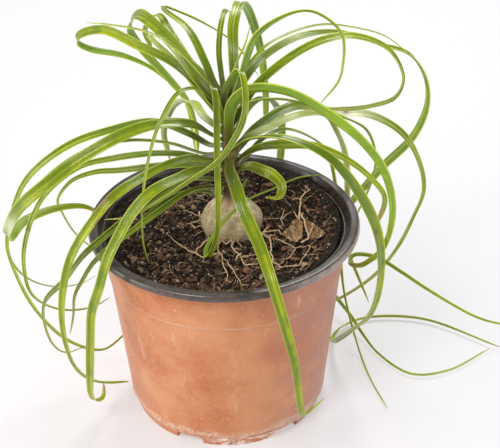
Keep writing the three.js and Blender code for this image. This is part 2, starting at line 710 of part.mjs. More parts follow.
function rootStrand({ radii, route }) {
  const lift = radii[0] + ROOT_CLEARANCE;
  const lifted = points(route.map(([x, y]) => [x, y, soilCrest(x, y) + lift]));
  return toManifold(limb(lifted, radii, ROOT_SIDES, route.length * 3));
}

function rootTuft(strands) {
  const [first, ...others] = strands.map(rootStrand);
  return toGeometry(others.reduce((tuft, strand) => tuft.add(strand), first));
}

// Two dry papery scales that lean back over the right-hand roots
const SCALE_THICKNESS = 0.7;
const SCALE_FOOT = 96.4;
const SCALE_LEAN = 0.6;
const SCALES = {
  dry_scale_left: [[33.2, -15.5], [36.6, -12.2], [36.8, -5], [34.7, -2.7], [32.2, -4.1], [30.2, -7.4],
    [26.8, -10.4], [29.1, -13.1]],
  dry_scale_right: [[39.5, -13.5], [44, -13.5], [47.6, -11], [43.3, -6.7], [38.2, -3.1], [38, -8.8]],
};

function dryScale(outline) {
  const hinge = -14;
  const shape = new THREE.Shape(outline.map(([x, y]) => new THREE.Vector2(x, y - hinge)));
  const geometry = new THREE.ExtrudeGeometry(shape, { depth: SCALE_THICKNESS, bevelEnabled: false });
  return geometry.rotateX(SCALE_LEAN).translate(0, hinge, SCALE_FOOT);
}

// A young shoot beside the caudex, at its back
const SHOOT_ROUTE = [[9, 24.5, 95.4], [9, 24.4, 101], [10, 24, 106], [12, 23.6, 110]];
const SHOOT_RADII = [1.3, 0.6];

// Assembly
const plant = new THREE.Group();

function add(name, geometry, material, parent = plant) {
  geometry.computeVertexNormals();
  const mesh = new THREE.Mesh(geometry, material);
  mesh.name = name;
  parent.add(mesh);
  return mesh;
}

const pot = new THREE.Group();
plant.add(pot);
add('pot_outer_wall', outerWall(), terracottaPlastic, pot);
add('pot_inner_wall_and_rim', lathe(innerWallProfile()), darkPlastic, pot);

const caudexHole = toManifold(caudexBody(CLEARANCE));
add('soil', toGeometry(toManifold(soilBody()).subtract(caudexHole)), pottingSoil);

const stemRoute = [STEM_FOOT.clone().setZ(CAUDEX_TOP - 3), stemPoint(122), stemPoint(144), STEM_TIP];
const stem = toManifold(limb(stemRoute, [STEM_FOOT_RADIUS, STEM_TIP_RADIUS], 8, 6));
add('caudex_and_stem', toGeometry(toManifold(caudexBody()).add(stem)), caudexBark);

for (const [name, strands] of Object.entries(ROOTS)) {
  add(name, rootTuft(strands), rootSkin);
}

for (const [name, outline] of Object.entries(SCALES)) {
  add(name, dryScale(outline), rootSkin);
}

add('side_shoot', limb(points(SHOOT_ROUTE), SHOOT_RADII, 6, 5), stemSkin);

for (const [name, leaf] of Object.entries(LEAVES)) {
  add(name, blade(leaf), leafBlade);
}

export default plant;
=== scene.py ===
"""Looks of a potted ponytail palm: leaves, caudex, roots, potting soil and a two-colour nursery pot."""
import math
import random

import bmesh
import bpy
import numpy as np
from mathutils import Matrix, Vector, noise


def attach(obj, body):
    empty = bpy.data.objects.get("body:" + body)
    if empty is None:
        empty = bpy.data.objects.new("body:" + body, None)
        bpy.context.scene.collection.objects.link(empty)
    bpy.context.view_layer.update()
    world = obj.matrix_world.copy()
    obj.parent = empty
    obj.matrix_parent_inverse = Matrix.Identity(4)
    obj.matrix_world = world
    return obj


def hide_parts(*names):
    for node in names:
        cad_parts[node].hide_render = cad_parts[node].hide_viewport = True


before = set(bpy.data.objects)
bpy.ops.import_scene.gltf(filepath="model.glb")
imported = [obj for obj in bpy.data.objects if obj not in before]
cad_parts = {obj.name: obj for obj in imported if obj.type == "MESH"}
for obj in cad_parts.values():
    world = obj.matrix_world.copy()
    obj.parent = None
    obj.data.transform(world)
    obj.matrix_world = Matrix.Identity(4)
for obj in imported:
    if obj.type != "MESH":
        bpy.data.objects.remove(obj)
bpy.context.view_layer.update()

MM = 0.001
ROOT_BODY = "root"
FULL_TURN = 2 * math.pi

# Sizes shared with the solids, in millimetres
POT_HEIGHT = 102
RIM_RADIUS = 65
LIP_INNER_RADIUS = 60.1
WALL_TOP = 98
WALL_TOP_RADIUS = 58.6
FOOT_TOP_RADIUS = 49.5
FOOT_RADIUS = 47.4
FOOT_HEIGHT = 7
OUTER_SKIN = 0.9
SKIN_GAP = 0.3
INNER_SKIN = 0.9
POT_FLOOR = 7.5
RIM_UNDERSIDE = 98.6
RIM_BAND_TOP = 101.4
SHOULDER_STEP = 0.5
FOOT_NOTCHES = 6
NOTCH_WIDTH = 14
NOTCH_HEIGHT = 4.5
SOIL_TOP = 94
SOIL_RADIUS = 55.4
STEM_FOOT = np.array([4.2, 4.0, 108.0])
STEM_TIP = np.array([1.8, 4.0, 166.0])
STEM_FOOT_RADIUS = 2.6
STEM_TIP_RADIUS = 1.5
CAUDEX_CENTRE = np.array([3.4, 5.0])
BLADE_CLEARANCE = 0.66

# The line round the wall, where the photograph shows it
SHOULDER_HEIGHT = 78

# The photograph's camera: distance and target in millimetres, angles in degrees
CAMERA_TARGET = Vector((12.14, 0, 98.02))
CAMERA_AZIMUTH = -1.344
CAMERA_ELEVATION = 32.155
CAMERA_ROLL = -0.608
CAMERA_DISTANCE = 609.6
CAMERA_LENS = 91.34

# Out-of-round wall and the foot's cuts, in millimetres and radians, and sharp edges in degrees
POT_AROUND = 288
WALL_SHARP_ANGLE = 40
RIM_SHARP_ANGLE = 60
FOOT_TURN = -math.pi / 2 - 0.42
ROUND_BELOW = 20
RIM_PUSH_FRONT = 0.6
RIM_PULL_RIGHT = 0.5
DENT_ANGLE = -2.44
DENT_HEIGHT = 88
DENT_DEPTH = 1.9
DENT_REACH = 0.17
DENT_SLOPE = 10.5
LIMESCALE_HEIGHT = 7.4
CRUST_MIDDLE = 11
SLIT_WIDTH = 1.2
SLIT_TURNS = (-1.53, 0.9, 2.6)
CUT_DEPTH = 9

# Soil bed and what is strewn on it
SOIL_RINGS = 110
SOIL_AROUND = 300
SOIL_BOTTOM = 13
SOIL_REACH = 55.75
LOOSE_ANGLE = 0.0
LOOSE_START = 44
LOOSE_HEIGHT = 2.4
CRUMB_HEIGHT = 0.8
SOIL_RISE_BACK = 0.03
SOIL_FALL_RIGHT = 0.012
CLOD_SIZE = 6.2
CLOD_HEIGHT = 2.2
CLOD_WANDER = 2.4
CREST_REACH = 2.6
CREST_POINTS = 8
BANK_HEIGHT = 4.4
BANK_START = 40
BANK_END = 56
BANK_ANGLE = math.pi / 4
FIBRE_COUNT = 150
FIBRE_STEP = 1.6
FIBRE_REACH = 51
FIBRE_LIMIT = 52

# Caudex, the roots that spring from it, and torn old leaf bases
CAUDEX_PROFILE = [
    (8, 86), (13.2, 90), (15, 95.5), (14.4, 100), (12.2, 104), (8.6, 107.2), (4.4, 108.8),
    (2.9, 110.4), (2.6, 112.5),
]
CAUDEX_AROUND = 112
CAUDEX_SPACING = 0.45
CAUDEX_GIRTH = 13.5
CAUDEX_ROOTS = 26
CAUDEX_ROOT_TURN = 2.399
SCAR_COUNT = 13
SCAR_TURN = 2.4
SCAR_LOW = 110
SCAR_HIGH = 124
SCAR_ROWS = 4
SCAR_COLUMNS = 8
SCAR_THICKNESS = 0.22

# Roots over the soil
ROOT_CLEARANCE = 0.4
ROOT_SLIMNESS = 0.46
ROOTLET_LIFT = 1.2

# Dry papery scales, in millimetres and radians
SCALE_FOOT = 96.4
SCALE_LEAN = 0.6
SCALE_HINGE = -14
SCALE_ROWS = 22
SCALE_COLUMNS = 96
SCALE_EDGE_STEPS = 12
SCALE_VEINS = 7
SCALE_THICKNESS = 0.25

# Side shoot
SHOOT_ROUTE = [(9, 24.5, 95.4), (9, 24.4, 101), (10, 24, 106), (12, 23.6, 110)]
SHOOT_RADII = (1.3, 0.6)

# Column of clasping leaf bases
SHEATHS_LOW = 104.5
SHEATHS_HIGH = 160
SHEATHS_ROWS = 90
SHEATHS_AROUND = 72
SHEATHS_RADIUS_LOW = 4.2
SHEATHS_RADIUS_HIGH = 2.5
NECK_RADIUS = 9
NECK_TOP = 114

# Blade of a leaf, and the length over which it clasps the stem
BLADE_RIDGES = 6
BLADE_VEINS = 23.0
BLADE_THICKNESS = 0.62
BLADE_CHANNEL = 0.17
BLADE_SPACING = 1.8
BLADE_COLUMNS = 24
BLADE_NECK = 3.6
BLADE_TIP = 9
BLADE_FLATNESS = 60.0
RIDGE_HEIGHT = 0.11
SHEATH_LENGTH = 9
SHEATH_WIDTH = 6.0
SHEATH_RADIUS = 3.1
SHEATH_OPENS = 15
SHEATH_FLARE = 1.6
DRY_TIP = 0.008
DRY_STRENGTH = 0.85
SPOT_HALF_WIDTH = 0.5

# Seeds of the random draws
STEM_SEED = 21
SCARS_SEED = 22
FINE_ROOTS_SEED = 31
CAUDEX_ROOTS_SEED = 32
FIBRES_SEED = 33
SHOOT_SEED = 41

# Floor and light
FLOOR_HALF = 3
FLOOR_COLOUR = (0.5, 0.497, 0.513, 1)
WORLD_COLOUR = (1.0, 0.995, 1.0, 1)
WORLD_STRENGTH = 0.36
FLOOR_GLOW = 0.385
KEY_POWER = 6.0
SIDE_POWER = 5.2
FILL_POWER = 2.6
BACK_POWER = 7.5


def add_object(name, data):
    made = bpy.data.objects.new(name, data)
    bpy.context.scene.collection.objects.link(made)
    return made


# Camera
def make_camera():
    azimuth = math.radians(CAMERA_AZIMUTH)
    elevation = math.radians(CAMERA_ELEVATION)
    roll = math.radians(CAMERA_ROLL)
    back = Vector((
        math.sin(azimuth) * math.cos(elevation),
        -math.cos(azimuth) * math.cos(elevation),
        math.sin(elevation),
    ))
    level = Vector((math.cos(azimuth), math.sin(azimuth), 0))
    rise = back.cross(level)
    right = math.cos(roll) * level + math.sin(roll) * rise
    up = math.cos(roll) * rise - math.sin(roll) * level
    camera = add_object("camera", bpy.data.cameras.new("camera"))
    place = Matrix((right, up, back)).transposed().to_4x4()
    place.translation = (CAMERA_TARGET + back * CAMERA_DISTANCE) * MM
    camera.matrix_world = place
    camera.data.lens = CAMERA_LENS
    camera.data.clip_start = 0.05
    camera.data.clip_end = 20
    bpy.context.scene.camera = camera


make_camera()


# Materials
def srgb(red, green, blue):
    """A colour as seen on screen, 0 to 255, as the linear value that shaders take."""
    def linear(value):
        value = value / 255
        return value / 12.92 if value <= 0.04045 else ((value + 0.055) / 1.055) ** 2.4
    return (linear(red), linear(green), linear(blue), 1.0)


class Material:
    """A node material round one Principled shader, whose colour is laid on in layers.

    A span is the low and high end of a value, and what comes out at each end if not 0 and 1.
    A layer takes a colour as seen on screen, 0 to 255, or the output of a node.
    """

    def __init__(self, name, roughness, specular):
        self.material = bpy.data.materials.new(name)
        self.material.use_nodes = True
        self.tree = self.material.node_tree
        self.shader = self.tree.nodes["Principled BSDF"]
        self.tone = None
        self.set(Roughness=roughness, Specular_IOR_Level=specular)

    def set(self, **values):
        for key, value in values.items():
            self.feed(self.shader.inputs[key.replace("_", " ")], value)

    def feed(self, socket, value):
        if isinstance(value, bpy.types.NodeSocket):
            self.tree.links.new(value, socket)
        else:
            socket.default_value = value

    def node(self, kind, settings=(), **inputs):
        made = self.tree.nodes.new(kind)
        for key, value in dict(settings).items():
            setattr(made, key, value)
        for key, value in inputs.items():
            self.feed(made.inputs[key.replace("_", " ")], value)
        return made

    def place(self, scale=(1, 1, 1)):
        source = self.node("ShaderNodeTexCoord").outputs["Object"]
        return self.node("ShaderNodeMapping", Vector=source, Scale=scale).outputs["Vector"]

    def axis(self, name):
        return self.node("ShaderNodeSeparateXYZ", Vector=self.place()).outputs[name]

    def noise(self, vector, scale, detail=4, roughness=0.6):
        values = {"Vector": vector, "Scale": scale, "Detail": detail, "Roughness": roughness}
        return self.node("ShaderNodeTexNoise", **values).outputs["Fac"]

    def stretched_noise(self, scale, detail=4, roughness=0.6):
        return self.noise(self.place(scale), 1.0, detail, roughness)

    def attribute(self, name):
        return self.node("ShaderNodeAttribute", {"attribute_name": name}).outputs["Fac"]

    def math(self, operation, first, second=0.0):
        made = self.node("ShaderNodeMath", {"operation": operation})
        self.feed(made.inputs[0], first)
        self.feed(made.inputs[1], second)
        return made.outputs["Value"]

    def times(self, first, second):
        return self.math("MULTIPLY", first, second)

    def plus(self, first, second):
        return self.math("ADD", first, second)

    def apart(self, value, centre):
        return self.math("ABSOLUTE", self.math("SUBTRACT", value, centre))

    def ramp(self, value, low, high, out_low=0.0, out_high=1.0):
        made = self.node("ShaderNodeMapRange", {"interpolation_type": "SMOOTHSTEP"}, Value=value)
        ends = (("From Min", low), ("From Max", high), ("To Min", out_low), ("To Max", out_high))
        for key, end in ends:
            made.inputs[key].default_value = end
        return made.outputs["Result"]

    def mix(self, amount, first, second):
        made = self.node("ShaderNodeMix", {"data_type": "RGBA"})
        for index, value in ((0, amount), (6, first), (7, second)):
            self.feed(made.inputs[index], srgb(*value) if isinstance(value, tuple) else value)
        return made.outputs[2]

    def blend(self, value, span, first, second):
        return self.mix(self.ramp(value, *span), first, second)

    def cover(self, amount, colour):
        self.tone = self.mix(amount, self.tone, colour)

    def layer(self, value, span, colour):
        self.cover(self.ramp(value, *span), colour)

    def bump(self, height, strength, distance):
        made = self.node("ShaderNodeBump", Height=height, Strength=strength, Distance=distance)
        self.set(Normal=made.outputs["Normal"])

    def soft(self, weight, radius):
        self.set(Subsurface_Weight=weight, Subsurface_Radius=radius, Subsurface_Scale=0.002)

    def done(self):
        self.set(Base_Color=self.tone)
        return self.material


# Each side of a leaf: its light and deep colours, its groove colour (painted shade in the grooves and at
# the base), the strength of its middle stripe (a painted highlight), its roughness, and how much light
# comes through it
LEAF_COLOURS = {
    "fresh": [
        (((202, 210, 8), (100, 124, 2), (60, 80, 3)), 0.0, 0.25, 0.3),
        (((192, 212, 78), (122, 148, 36), (74, 98, 18)), 0.0, 0.32, 0.6),
    ],
    "green": [
        (((180, 194, 10), (92, 120, 3), (52, 74, 3)), 0.5, 0.25, 0.3),
        (((178, 198, 82), (106, 132, 40), (62, 84, 22)), 0.3, 0.32, 0.6),
    ],
    # deep: a darker copy of the leaf colours for the low leaves by the stem, painted shade
    "deep": [
        (((124, 144, 16), (68, 92, 6), (38, 56, 4)), 0.2, 0.25, 0.3),
        (((138, 158, 76), (82, 106, 42), (54, 74, 30)), 0.1, 0.36, 0.5),
    ],
    "pale": [
        (((224, 228, 152), (168, 182, 88), (116, 132, 54)), 0.3, 0.25, 0.3),
        (((214, 220, 168), (170, 182, 116), (124, 138, 82)), 0.2, 0.36, 0.3),
    ],
}


def leaf_material(name, colours, glint_stripe, roughness, glow):
    """A ribbed blade: streaks along it, painted shade in its grooves, on one half, in patches and towards
    its base, a painted highlight down its middle, a lighter margin and a dry tip.
    """
    light, deep, groove = colours
    made = Material(name, roughness, 0.36)
    across = made.attribute("across")
    metres = made.attribute("metres")
    along = made.attribute("along")
    edge = made.math("ABSOLUTE", across)
    stretched = made.node(
        "ShaderNodeCombineXYZ",
        X=made.times(across, 5.5),
        Y=made.times(metres, 16.0),
        Z=made.attribute("seed"),
    ).outputs["Vector"]
    streak = made.noise(stretched, 1.0, 5, 0.65)
    ribs = made.math("COSINE", made.times(across, math.pi * BLADE_RIDGES))
    veins = made.math("SINE", made.times(across, BLADE_VEINS))
    made.tone = made.blend(streak, (0.34, 0.66), deep, light)
    # Painted shade: the groove colour darkens the grooves between the ribs
    made.layer(ribs, (-1, 0.3, 0.4, 0), groove)
    # Painted shade: one half of the blade is darker, as on the shaded side of its channel
    made.layer(across, (-0.5, 0.1, 0.6, 0), deep)
    # Painted shade: darker towards the base of the blade, where the crown shades it
    made.layer(along, (0.1, 0.4, 0.7, 0), deep)
    made.layer(along, (0.05, 0.3, 0.55, 0), groove)
    made.layer(veins, (-0.2, 1, 0, 0.2), (206, 216, 22))
    # Painted shade: random darker patches along the blade, standing in for its lit and shaded stretches
    made.layer(made.noise(made.place(), 55, 3), (0.42, 0.6, 0, 0.65), deep)
    # Painted highlight: a pale stripe down the middle of the blade, where its channel catches the light
    middle = made.times(made.ramp(edge, 0.06, 0.34, glint_stripe, 0), made.ramp(along, 0.2, 0.45))
    made.cover(middle, (216, 222, 132))
    made.layer(along, (0.55, 1.0, 0, 0.25), (204, 206, 84))
    made.layer(edge, (0.84, 0.96, 0, 0.5 + glint_stripe * 0.4), (222, 226, 92))
    made.layer(metres, (0.006, 0.034, 0.85, 0), (98, 96, 40))
    made.cover(made.attribute("faded"), (236, 234, 206))
    made.cover(made.attribute("brown"), (134, 100, 48))
    made.cover(made.attribute("dry"), (186, 148, 96))
    made.bump(made.plus(made.times(veins, 0.5), made.times(streak, 0.6)), 0.36, 0.0003)
    made.set(Roughness=made.ramp(streak, 0.3, 0.7, roughness - 0.08, roughness + 0.12))
    made.set(Coat_Weight=0.3, Coat_Roughness=0.1)
    made.soft(glow, (0.65, 1.0, 0.1))
    return made.done()


def terracotta_material():
    """Matt moulded plastic: cloudy colour, chalky scuffs, limescale where the foot begins, painted shade on
    the right and a painted highlight along the shoulder step.
    """
    made = Material("terracotta_plastic", 0.5, 0.4)
    even = made.place()
    height = made.axis("Z")
    beside = made.axis("X")
    fine = made.noise(even, 420, 4)
    made.tone = made.blend(made.noise(even, 26, 3), (0.35, 0.65), (192, 108, 56), (216, 145, 97))
    made.layer(fine, (0.3, 0.7, 0, 0.3), (218, 158, 118))
    made.layer(height, (0.004, 0.009, 0.8, 0), (196, 112, 70))
    wavy = made.plus(height, made.times(made.noise(even, 70, 4, 0.7), 0.008))
    band = made.apart(wavy, LIMESCALE_HEIGHT * MM + 0.004)
    crumbly = made.ramp(made.noise(even, 520, 4, 0.75), 0.4, 0.63, 0.1, 0.7)
    made.cover(made.times(made.ramp(band, 0.0003, 0.0046, 1, 0), crumbly), (232, 210, 188))
    crust = made.stretched_noise((150, 150, 300), 5, 0.8)
    near = made.ramp(made.apart(beside, CRUST_MIDDLE * MM), 0.01, 0.026, 1, 0)
    patch = made.times(near, made.ramp(height, 0.005, 0.009, 1, 0))
    made.cover(made.times(patch, made.ramp(crust, 0.5, 0.55, 0, 0.85)), (250, 240, 222))
    right = made.times(made.ramp(beside, 0.018, 0.036), made.ramp(band, 0.002, 0.006, 0.85, 0))
    made.cover(made.times(right, made.ramp(crust, 0.4, 0.5)), (240, 224, 204))
    # Painted highlight: a pale line along the shoulder step, broken up by noise and fainter on the left
    line = made.ramp(made.apart(height, SHOULDER_HEIGHT * MM), 0.0001, 0.0006, 1, 0)
    step_highlight = made.ramp(made.noise(even, 34, 3), 0.36, 0.6, 0.3, 0.9)
    step_highlight = made.times(step_highlight, made.ramp(beside, -0.048, -0.02, 0.15, 1))
    made.cover(made.times(line, step_highlight), (236, 198, 172))
    # Painted shade: darker mottling on the right of the wall, where leaf shadows fall
    right_side_shade = made.ramp(made.stretched_noise((40, 40, 70), 4, 0.7), 0.36, 0.56, 0.35, 1)
    made.cover(made.times(made.ramp(beside, 0.0, 0.045, 0, 0.75), right_side_shade), (172, 116, 96))
    scuffs = made.stretched_noise((90, 90, 28), 6, 0.7)
    made.layer(scuffs, (0.58, 0.74, 0, 0.5), (236, 206, 182))
    made.layer(made.noise(even, 760, 2), (0.66, 0.74, 0, 0.55), (238, 206, 180))
    made.layer(made.noise(even, 900, 2), (0.7, 0.78, 0, 0.3), (150, 88, 60))
    made.set(Roughness=made.ramp(scuffs, 0.4, 0.7, 0.42, 0.62))
    made.bump(made.plus(fine, made.times(scuffs, 0.4)), 0.18, 0.0003)
    made.soft(0.1, (1.0, 0.45, 0.25))
    made.set(Sheen_Weight=0.22, Sheen_Roughness=0.45, Sheen_Tint=(1.0, 0.9, 0.86, 1))
    return made.done()


def dark_plastic_material():
    """Satin plastic with fine scratches along the rim, a dusting of dry soil, and a painted highlight on
    the right of the rim's outer band.
    """
    made = Material("dark_plastic", 0.3, 0.4)
    even = made.place()
    beside = made.axis("X")
    behind = made.axis("Y")
    dust = made.noise(even, 180, 6, 0.7)
    made.tone = made.blend(dust, (0.4, 0.62), (40, 31, 27), (70, 56, 48))
    made.layer(made.noise(even, 1100, 2), (0.64, 0.73, 0, 0.6), (158, 136, 116))
    reach = made.math("SQRT", made.plus(made.times(beside, beside), made.times(behind, behind)))
    outside = made.ramp(reach, (RIM_RADIUS - 1.6) * MM, (RIM_RADIUS - 0.5) * MM)
    # Painted highlight: a pale patch on the outer band of the rim towards the right, mottled by the dust
    # noise
    wear_and_highlight = made.times(outside, made.ramp(beside, 0.01, 0.055, 0.1, 0.8))
    made.cover(made.times(wear_and_highlight, made.ramp(dust, 0.34, 0.5, 0.55, 1)), (176, 158, 150))
    scratches = made.stretched_noise((30, 30, 900), 5, 0.7)
    made.set(Roughness=made.ramp(scratches, 0.3, 0.7, 0.24, 0.44))
    made.bump(made.plus(scratches, dust), 0.14, 0.0003)
    made.set(Coat_Weight=0.5, Coat_Roughness=0.12)
    made.set(Sheen_Weight=0.06, Sheen_Roughness=0.4, Sheen_Tint=(1.0, 0.95, 0.92, 1))
    return made.done()


def soil_material(name, dark, light, pale):
    """Damp crumbs: each grain has its tint, and every face a dusting of paler grit."""
    made = Material(name, 0.85, 0.3)
    even = made.place()
    clod = made.noise(even, 120, 5, 0.75)
    grain = made.noise(even, 1100, 3, 0.7)
    tint = made.attribute("tint")
    shade = made.plus(made.times(tint, 0.6), made.times(clod, 0.6))
    made.tone = made.blend(shade, (0.3, 0.85), dark, light)
    made.layer(tint, (0.91, 0.98, 0, 0.8), pale)
    made.layer(grain, (0.56, 0.72, 0, 0.6), pale)
    made.bump(made.plus(grain, clod), 0.7, 0.0006)
    return made.done()


def bark_material(name, coarse, fine, light, deep, stain):
    """A dry grained skin with stains, their sizes given as noise scales."""
    made = Material(name, 0.85, 0.25)
    even = made.place((1, 1, 0.6))
    patch = made.noise(even, coarse, 5, 0.7)
    grain = made.noise(even, fine, 5, 0.7)
    made.tone = made.blend(grain, (0.3, 0.7), deep, light)
    made.layer(patch, (0.45, 0.68, 0, 0.7), stain)
    made.bump(made.plus(grain, patch), 0.7, 0.0009)
    return made.done()


def caudex_material():
    """Corky skin: tan, finely cracked and speckled, with brown scurf towards the foot."""
    made = Material("caudex_bark", 0.8, 0.25)
    even = made.place((1, 1, 0.7))
    patch = made.noise(even, 70, 4, 0.6)
    grain = made.noise(even, 620, 5, 0.75)
    made.tone = made.blend(grain, (0.36, 0.62), (190, 164, 124), (252, 236, 200))
    made.layer(patch, (0.46, 0.6, 0, 0.7), (184, 168, 120))
    made.layer(patch, (0.42, 0.3, 0, 0.6), (178, 146, 108))
    made.layer(made.noise(even, 1700, 2, 0.5), (0.62, 0.72, 0, 0.45), (112, 84, 60))
    scurf = made.times(made.ramp(made.axis("Z"), 0.094, 0.101, 1, 0), made.ramp(grain, 0.42, 0.56))
    made.cover(made.times(scurf, 0.7), (128, 92, 62))
    made.bump(made.plus(grain, made.times(patch, 0.5)), 0.6, 0.0005)
    return made.done()


def husk_material():
    """Dry papery scale: brown, with pale ribs and a frayed pale edge."""
    made = Material("dry_scale", 0.8, 0.25)
    even = made.place()
    patch = made.noise(even, 330, 5, 0.7)
    fibres = made.noise(even, 1500, 4, 0.7)
    made.tone = made.blend(fibres, (0.35, 0.65), (112, 82, 56), (186, 150, 108))
    made.layer(patch, (0.48, 0.62, 0, 0.6), (224, 192, 150))
    rib = made.times(made.attribute("rib"), made.ramp(patch, 0.4, 0.6, 0.2, 1))
    made.layer(rib, (0.2, 1.0, 0, 0.7), (236, 208, 168))
    made.bump(made.plus(fibres, patch), 0.7, 0.0006)
    return made.done()


def sheath_material():
    """Leaf bases that clasp the stem: pale husk at the foot, then brown, streaked olive above."""
    made = Material("leaf_sheaths", 0.5, 0.4)
    streak = made.stretched_noise((900, 900, 30), 4, 0.7)
    ends = (0.35, 0.65)
    green = made.blend(streak, ends, (76, 74, 26), (148, 146, 62))
    brown = made.blend(streak, ends, (76, 46, 40), (146, 102, 80))
    husky = made.blend(streak, ends, (166, 136, 96), (236, 214, 172))
    wavy = made.plus(made.axis("Z"), made.times(streak, 0.008))
    green = made.blend(made.stretched_noise((260, 260, 60), 3), (0.46, 0.6, 0, 0.8), green, brown)
    made.tone = made.blend(wavy, (0.112, 0.1185), husky, brown)
    made.layer(wavy, (0.128, 0.138), green)
    made.bump(streak, 0.9, 0.0008)
    return made.done()


LEAF_TONES = {
    tone: [leaf_material(f"leaf_{tone}{side}", *values) for side, values in zip(("", "_under"), sides)]
    for tone, sides in LEAF_COLOURS.items()
}
TERRACOTTA = terracotta_material()
DARK_PLASTIC = dark_plastic_material()
SOIL = soil_material("soil_bed", (28, 20, 15), (82, 62, 46), (156, 128, 100))
CRUMB_DARK = soil_material("soil_crumb_dark", (30, 22, 17), (108, 82, 62), (184, 156, 126))
CRUMB_BROWN = soil_material("soil_crumb_brown", (62, 44, 34), (146, 106, 84), (198, 166, 136))
BARK_CHIP = bark_material("bark_chip", 160, 900, (156, 102, 82), (104, 66, 54), (176, 130, 108))
PERLITE = bark_material("perlite", 300, 1200, (232, 226, 214), (202, 190, 170), (180, 160, 130))
CAUDEX = caudex_material()
SHEATHS = sheath_material()
STEM = bark_material("stem_skin", 220, 700, (150, 112, 92), (104, 70, 58), (120, 116, 70))
ROOT = bark_material("root_skin", 260, 900, (248, 222, 180), (212, 176, 132), (192, 146, 104))
DRY_SCALE = husk_material()
SHOOT = bark_material("shoot_green", 200, 800, (150, 170, 80), (110, 130, 50), (170, 110, 100))


# Building blocks
def make_piece(name, points, faces, materials, face_material=None, attributes=None, smooth=True):
    """A mesh object from points in millimetres."""
    mesh = bpy.data.meshes.new(name)
    mesh.from_pydata([tuple(point) for point in np.asarray(points, float) * MM], [], faces)
    for material in materials:
        mesh.materials.append(material)
    if face_material is not None:
        mesh.polygons.foreach_set("material_index", np.asarray(face_material, np.int32))
    mesh.polygons.foreach_set("use_smooth", np.full(len(mesh.polygons), smooth))
    for key, values in (attributes or {}).items():
        layer = mesh.attributes.new(key, "FLOAT", "POINT")
        layer.data.foreach_set("value", np.asarray(values, np.float32))
    mesh.update()
    return add_object(name, mesh)


def settle(piece, slot, *nodes):
    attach(piece, ROOT_BODY)
    if nodes:
        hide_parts(*nodes)


def apply_modifiers(piece):
    """Puts what the modifiers make into the mesh."""
    old = piece.data
    evaluated = piece.evaluated_get(bpy.context.evaluated_depsgraph_get())
    mesh = bpy.data.meshes.new_from_object(evaluated)
    piece.modifiers.clear()
    piece.data = mesh
    bpy.data.meshes.remove(old)


def thicken(piece, thickness):
    """Gives a thin sheet a real thickness."""
    modifier = piece.modifiers.new("thickness", "SOLIDIFY")
    modifier.thickness = thickness * MM
    modifier.offset = 0
    apply_modifiers(piece)


def clean(piece, sharp_angle):
    """Merges doubled points, drops empty faces, and keeps real edges crisp."""
    work = bmesh.new()
    work.from_mesh(piece.data)
    bmesh.ops.remove_doubles(work, verts=work.verts, dist=1e-7)
    bmesh.ops.dissolve_degenerate(work, edges=work.edges, dist=1e-7)
    bmesh.ops.recalc_face_normals(work, faces=work.faces)
    work.to_mesh(piece.data)
    work.free()
    piece.data.set_sharp_from_angle(angle=math.radians(sharp_angle))


def lerp(first, last, share):
    return first + (last - first) * share


def smoothstep(value, low, high):
    share = np.clip((value - low) / (high - low), 0, 1)
    return share * share * (3 - 2 * share)


def unit(vector):
    return vector / np.linalg.norm(vector)


def polar(reach, angle, centre=(0, 0)):
    return centre[0] + reach * math.cos(angle), centre[1] + reach * math.sin(angle)


def step_angle(step, count):
    return step / count * FULL_TURN


def noise_round(angle, reach, height):
    """Noise that closes on itself round the axis."""
    return noise.noise(Vector((*polar(reach, angle), height)))


def tube_faces(rows, around):
    """Faces of a tube of point rings, with both of its ends closed."""
    faces = []
    for row in range(rows - 1):
        for step in range(around):
            a = row * around + step
            b = row * around + (step + 1) % around
            faces.append((a, b, b + around, a + around))
    faces.append(tuple(range(around))[::-1])
    faces.append(tuple(range((rows - 1) * around, rows * around)))
    return faces


def disc_faces(hub, first, rings, around):
    """Faces of a disc: a fan round its hub, then rings of quads from a first point on."""
    faces = []
    for step in range(around):
        following = (step + 1) % around
        faces.append((hub, first + step, first + following))
        for ring in range(rings - 1):
            a = first + ring * around + step
            b = first + ring * around + following
            faces.append((a, a + around, b + around, b))
    return faces


def joined(parts):
    points = []
    faces = []
    for part_points, part_faces in parts:
        offset = len(points)
        points.extend(part_points)
        faces.extend(tuple(index + offset for index in face) for face in part_faces)
    return points, faces


def curve_span(p0, p1, p2, p3, share):
    """A point of the centripetal Catmull-Rom curve between p1 and p2, and its direction."""
    gaps = [max(np.linalg.norm(b - a) ** 0.5, 1e-4) for a, b in ((p0, p1), (p1, p2), (p2, p3))]
    t1 = (p1 - p0) / gaps[0] - (p2 - p0) / (gaps[0] + gaps[1]) + (p2 - p1) / gaps[1]
    t2 = (p2 - p1) / gaps[1] - (p3 - p1) / (gaps[1] + gaps[2]) + (p3 - p2) / gaps[2]
    t1 = t1 * gaps[1]
    t2 = t2 * gaps[1]
    c2 = -3 * p1 + 3 * p2 - 2 * t1 - t2
    c3 = 2 * p1 - 2 * p2 + t1 + t2
    point = p1 + t1 * share + c2 * share ** 2 + c3 * share ** 3
    return point, t1 + 2 * c2 * share + 3 * c3 * share ** 2


def curve_through(stations, spacing):
    """Points about one spacing apart along a smooth curve through the stations, with directions."""
    stations = [np.asarray(station, float) for station in stations]
    padded = [2 * stations[0] - stations[1], *stations, 2 * stations[-1] - stations[-2]]
    points = []
    directions = []
    for index in range(1, len(padded) - 2):
        span = padded[index - 1:index + 3]
        count = max(4, round(np.linalg.norm(span[2] - span[1]) / spacing))
        for step in range(count):
            point, direction = curve_span(*span, step / count)
            points.append(point)
            directions.append(unit(direction))
    points.append(stations[-1])
    directions.append(directions[-1])
    return np.array(points), np.array(directions)


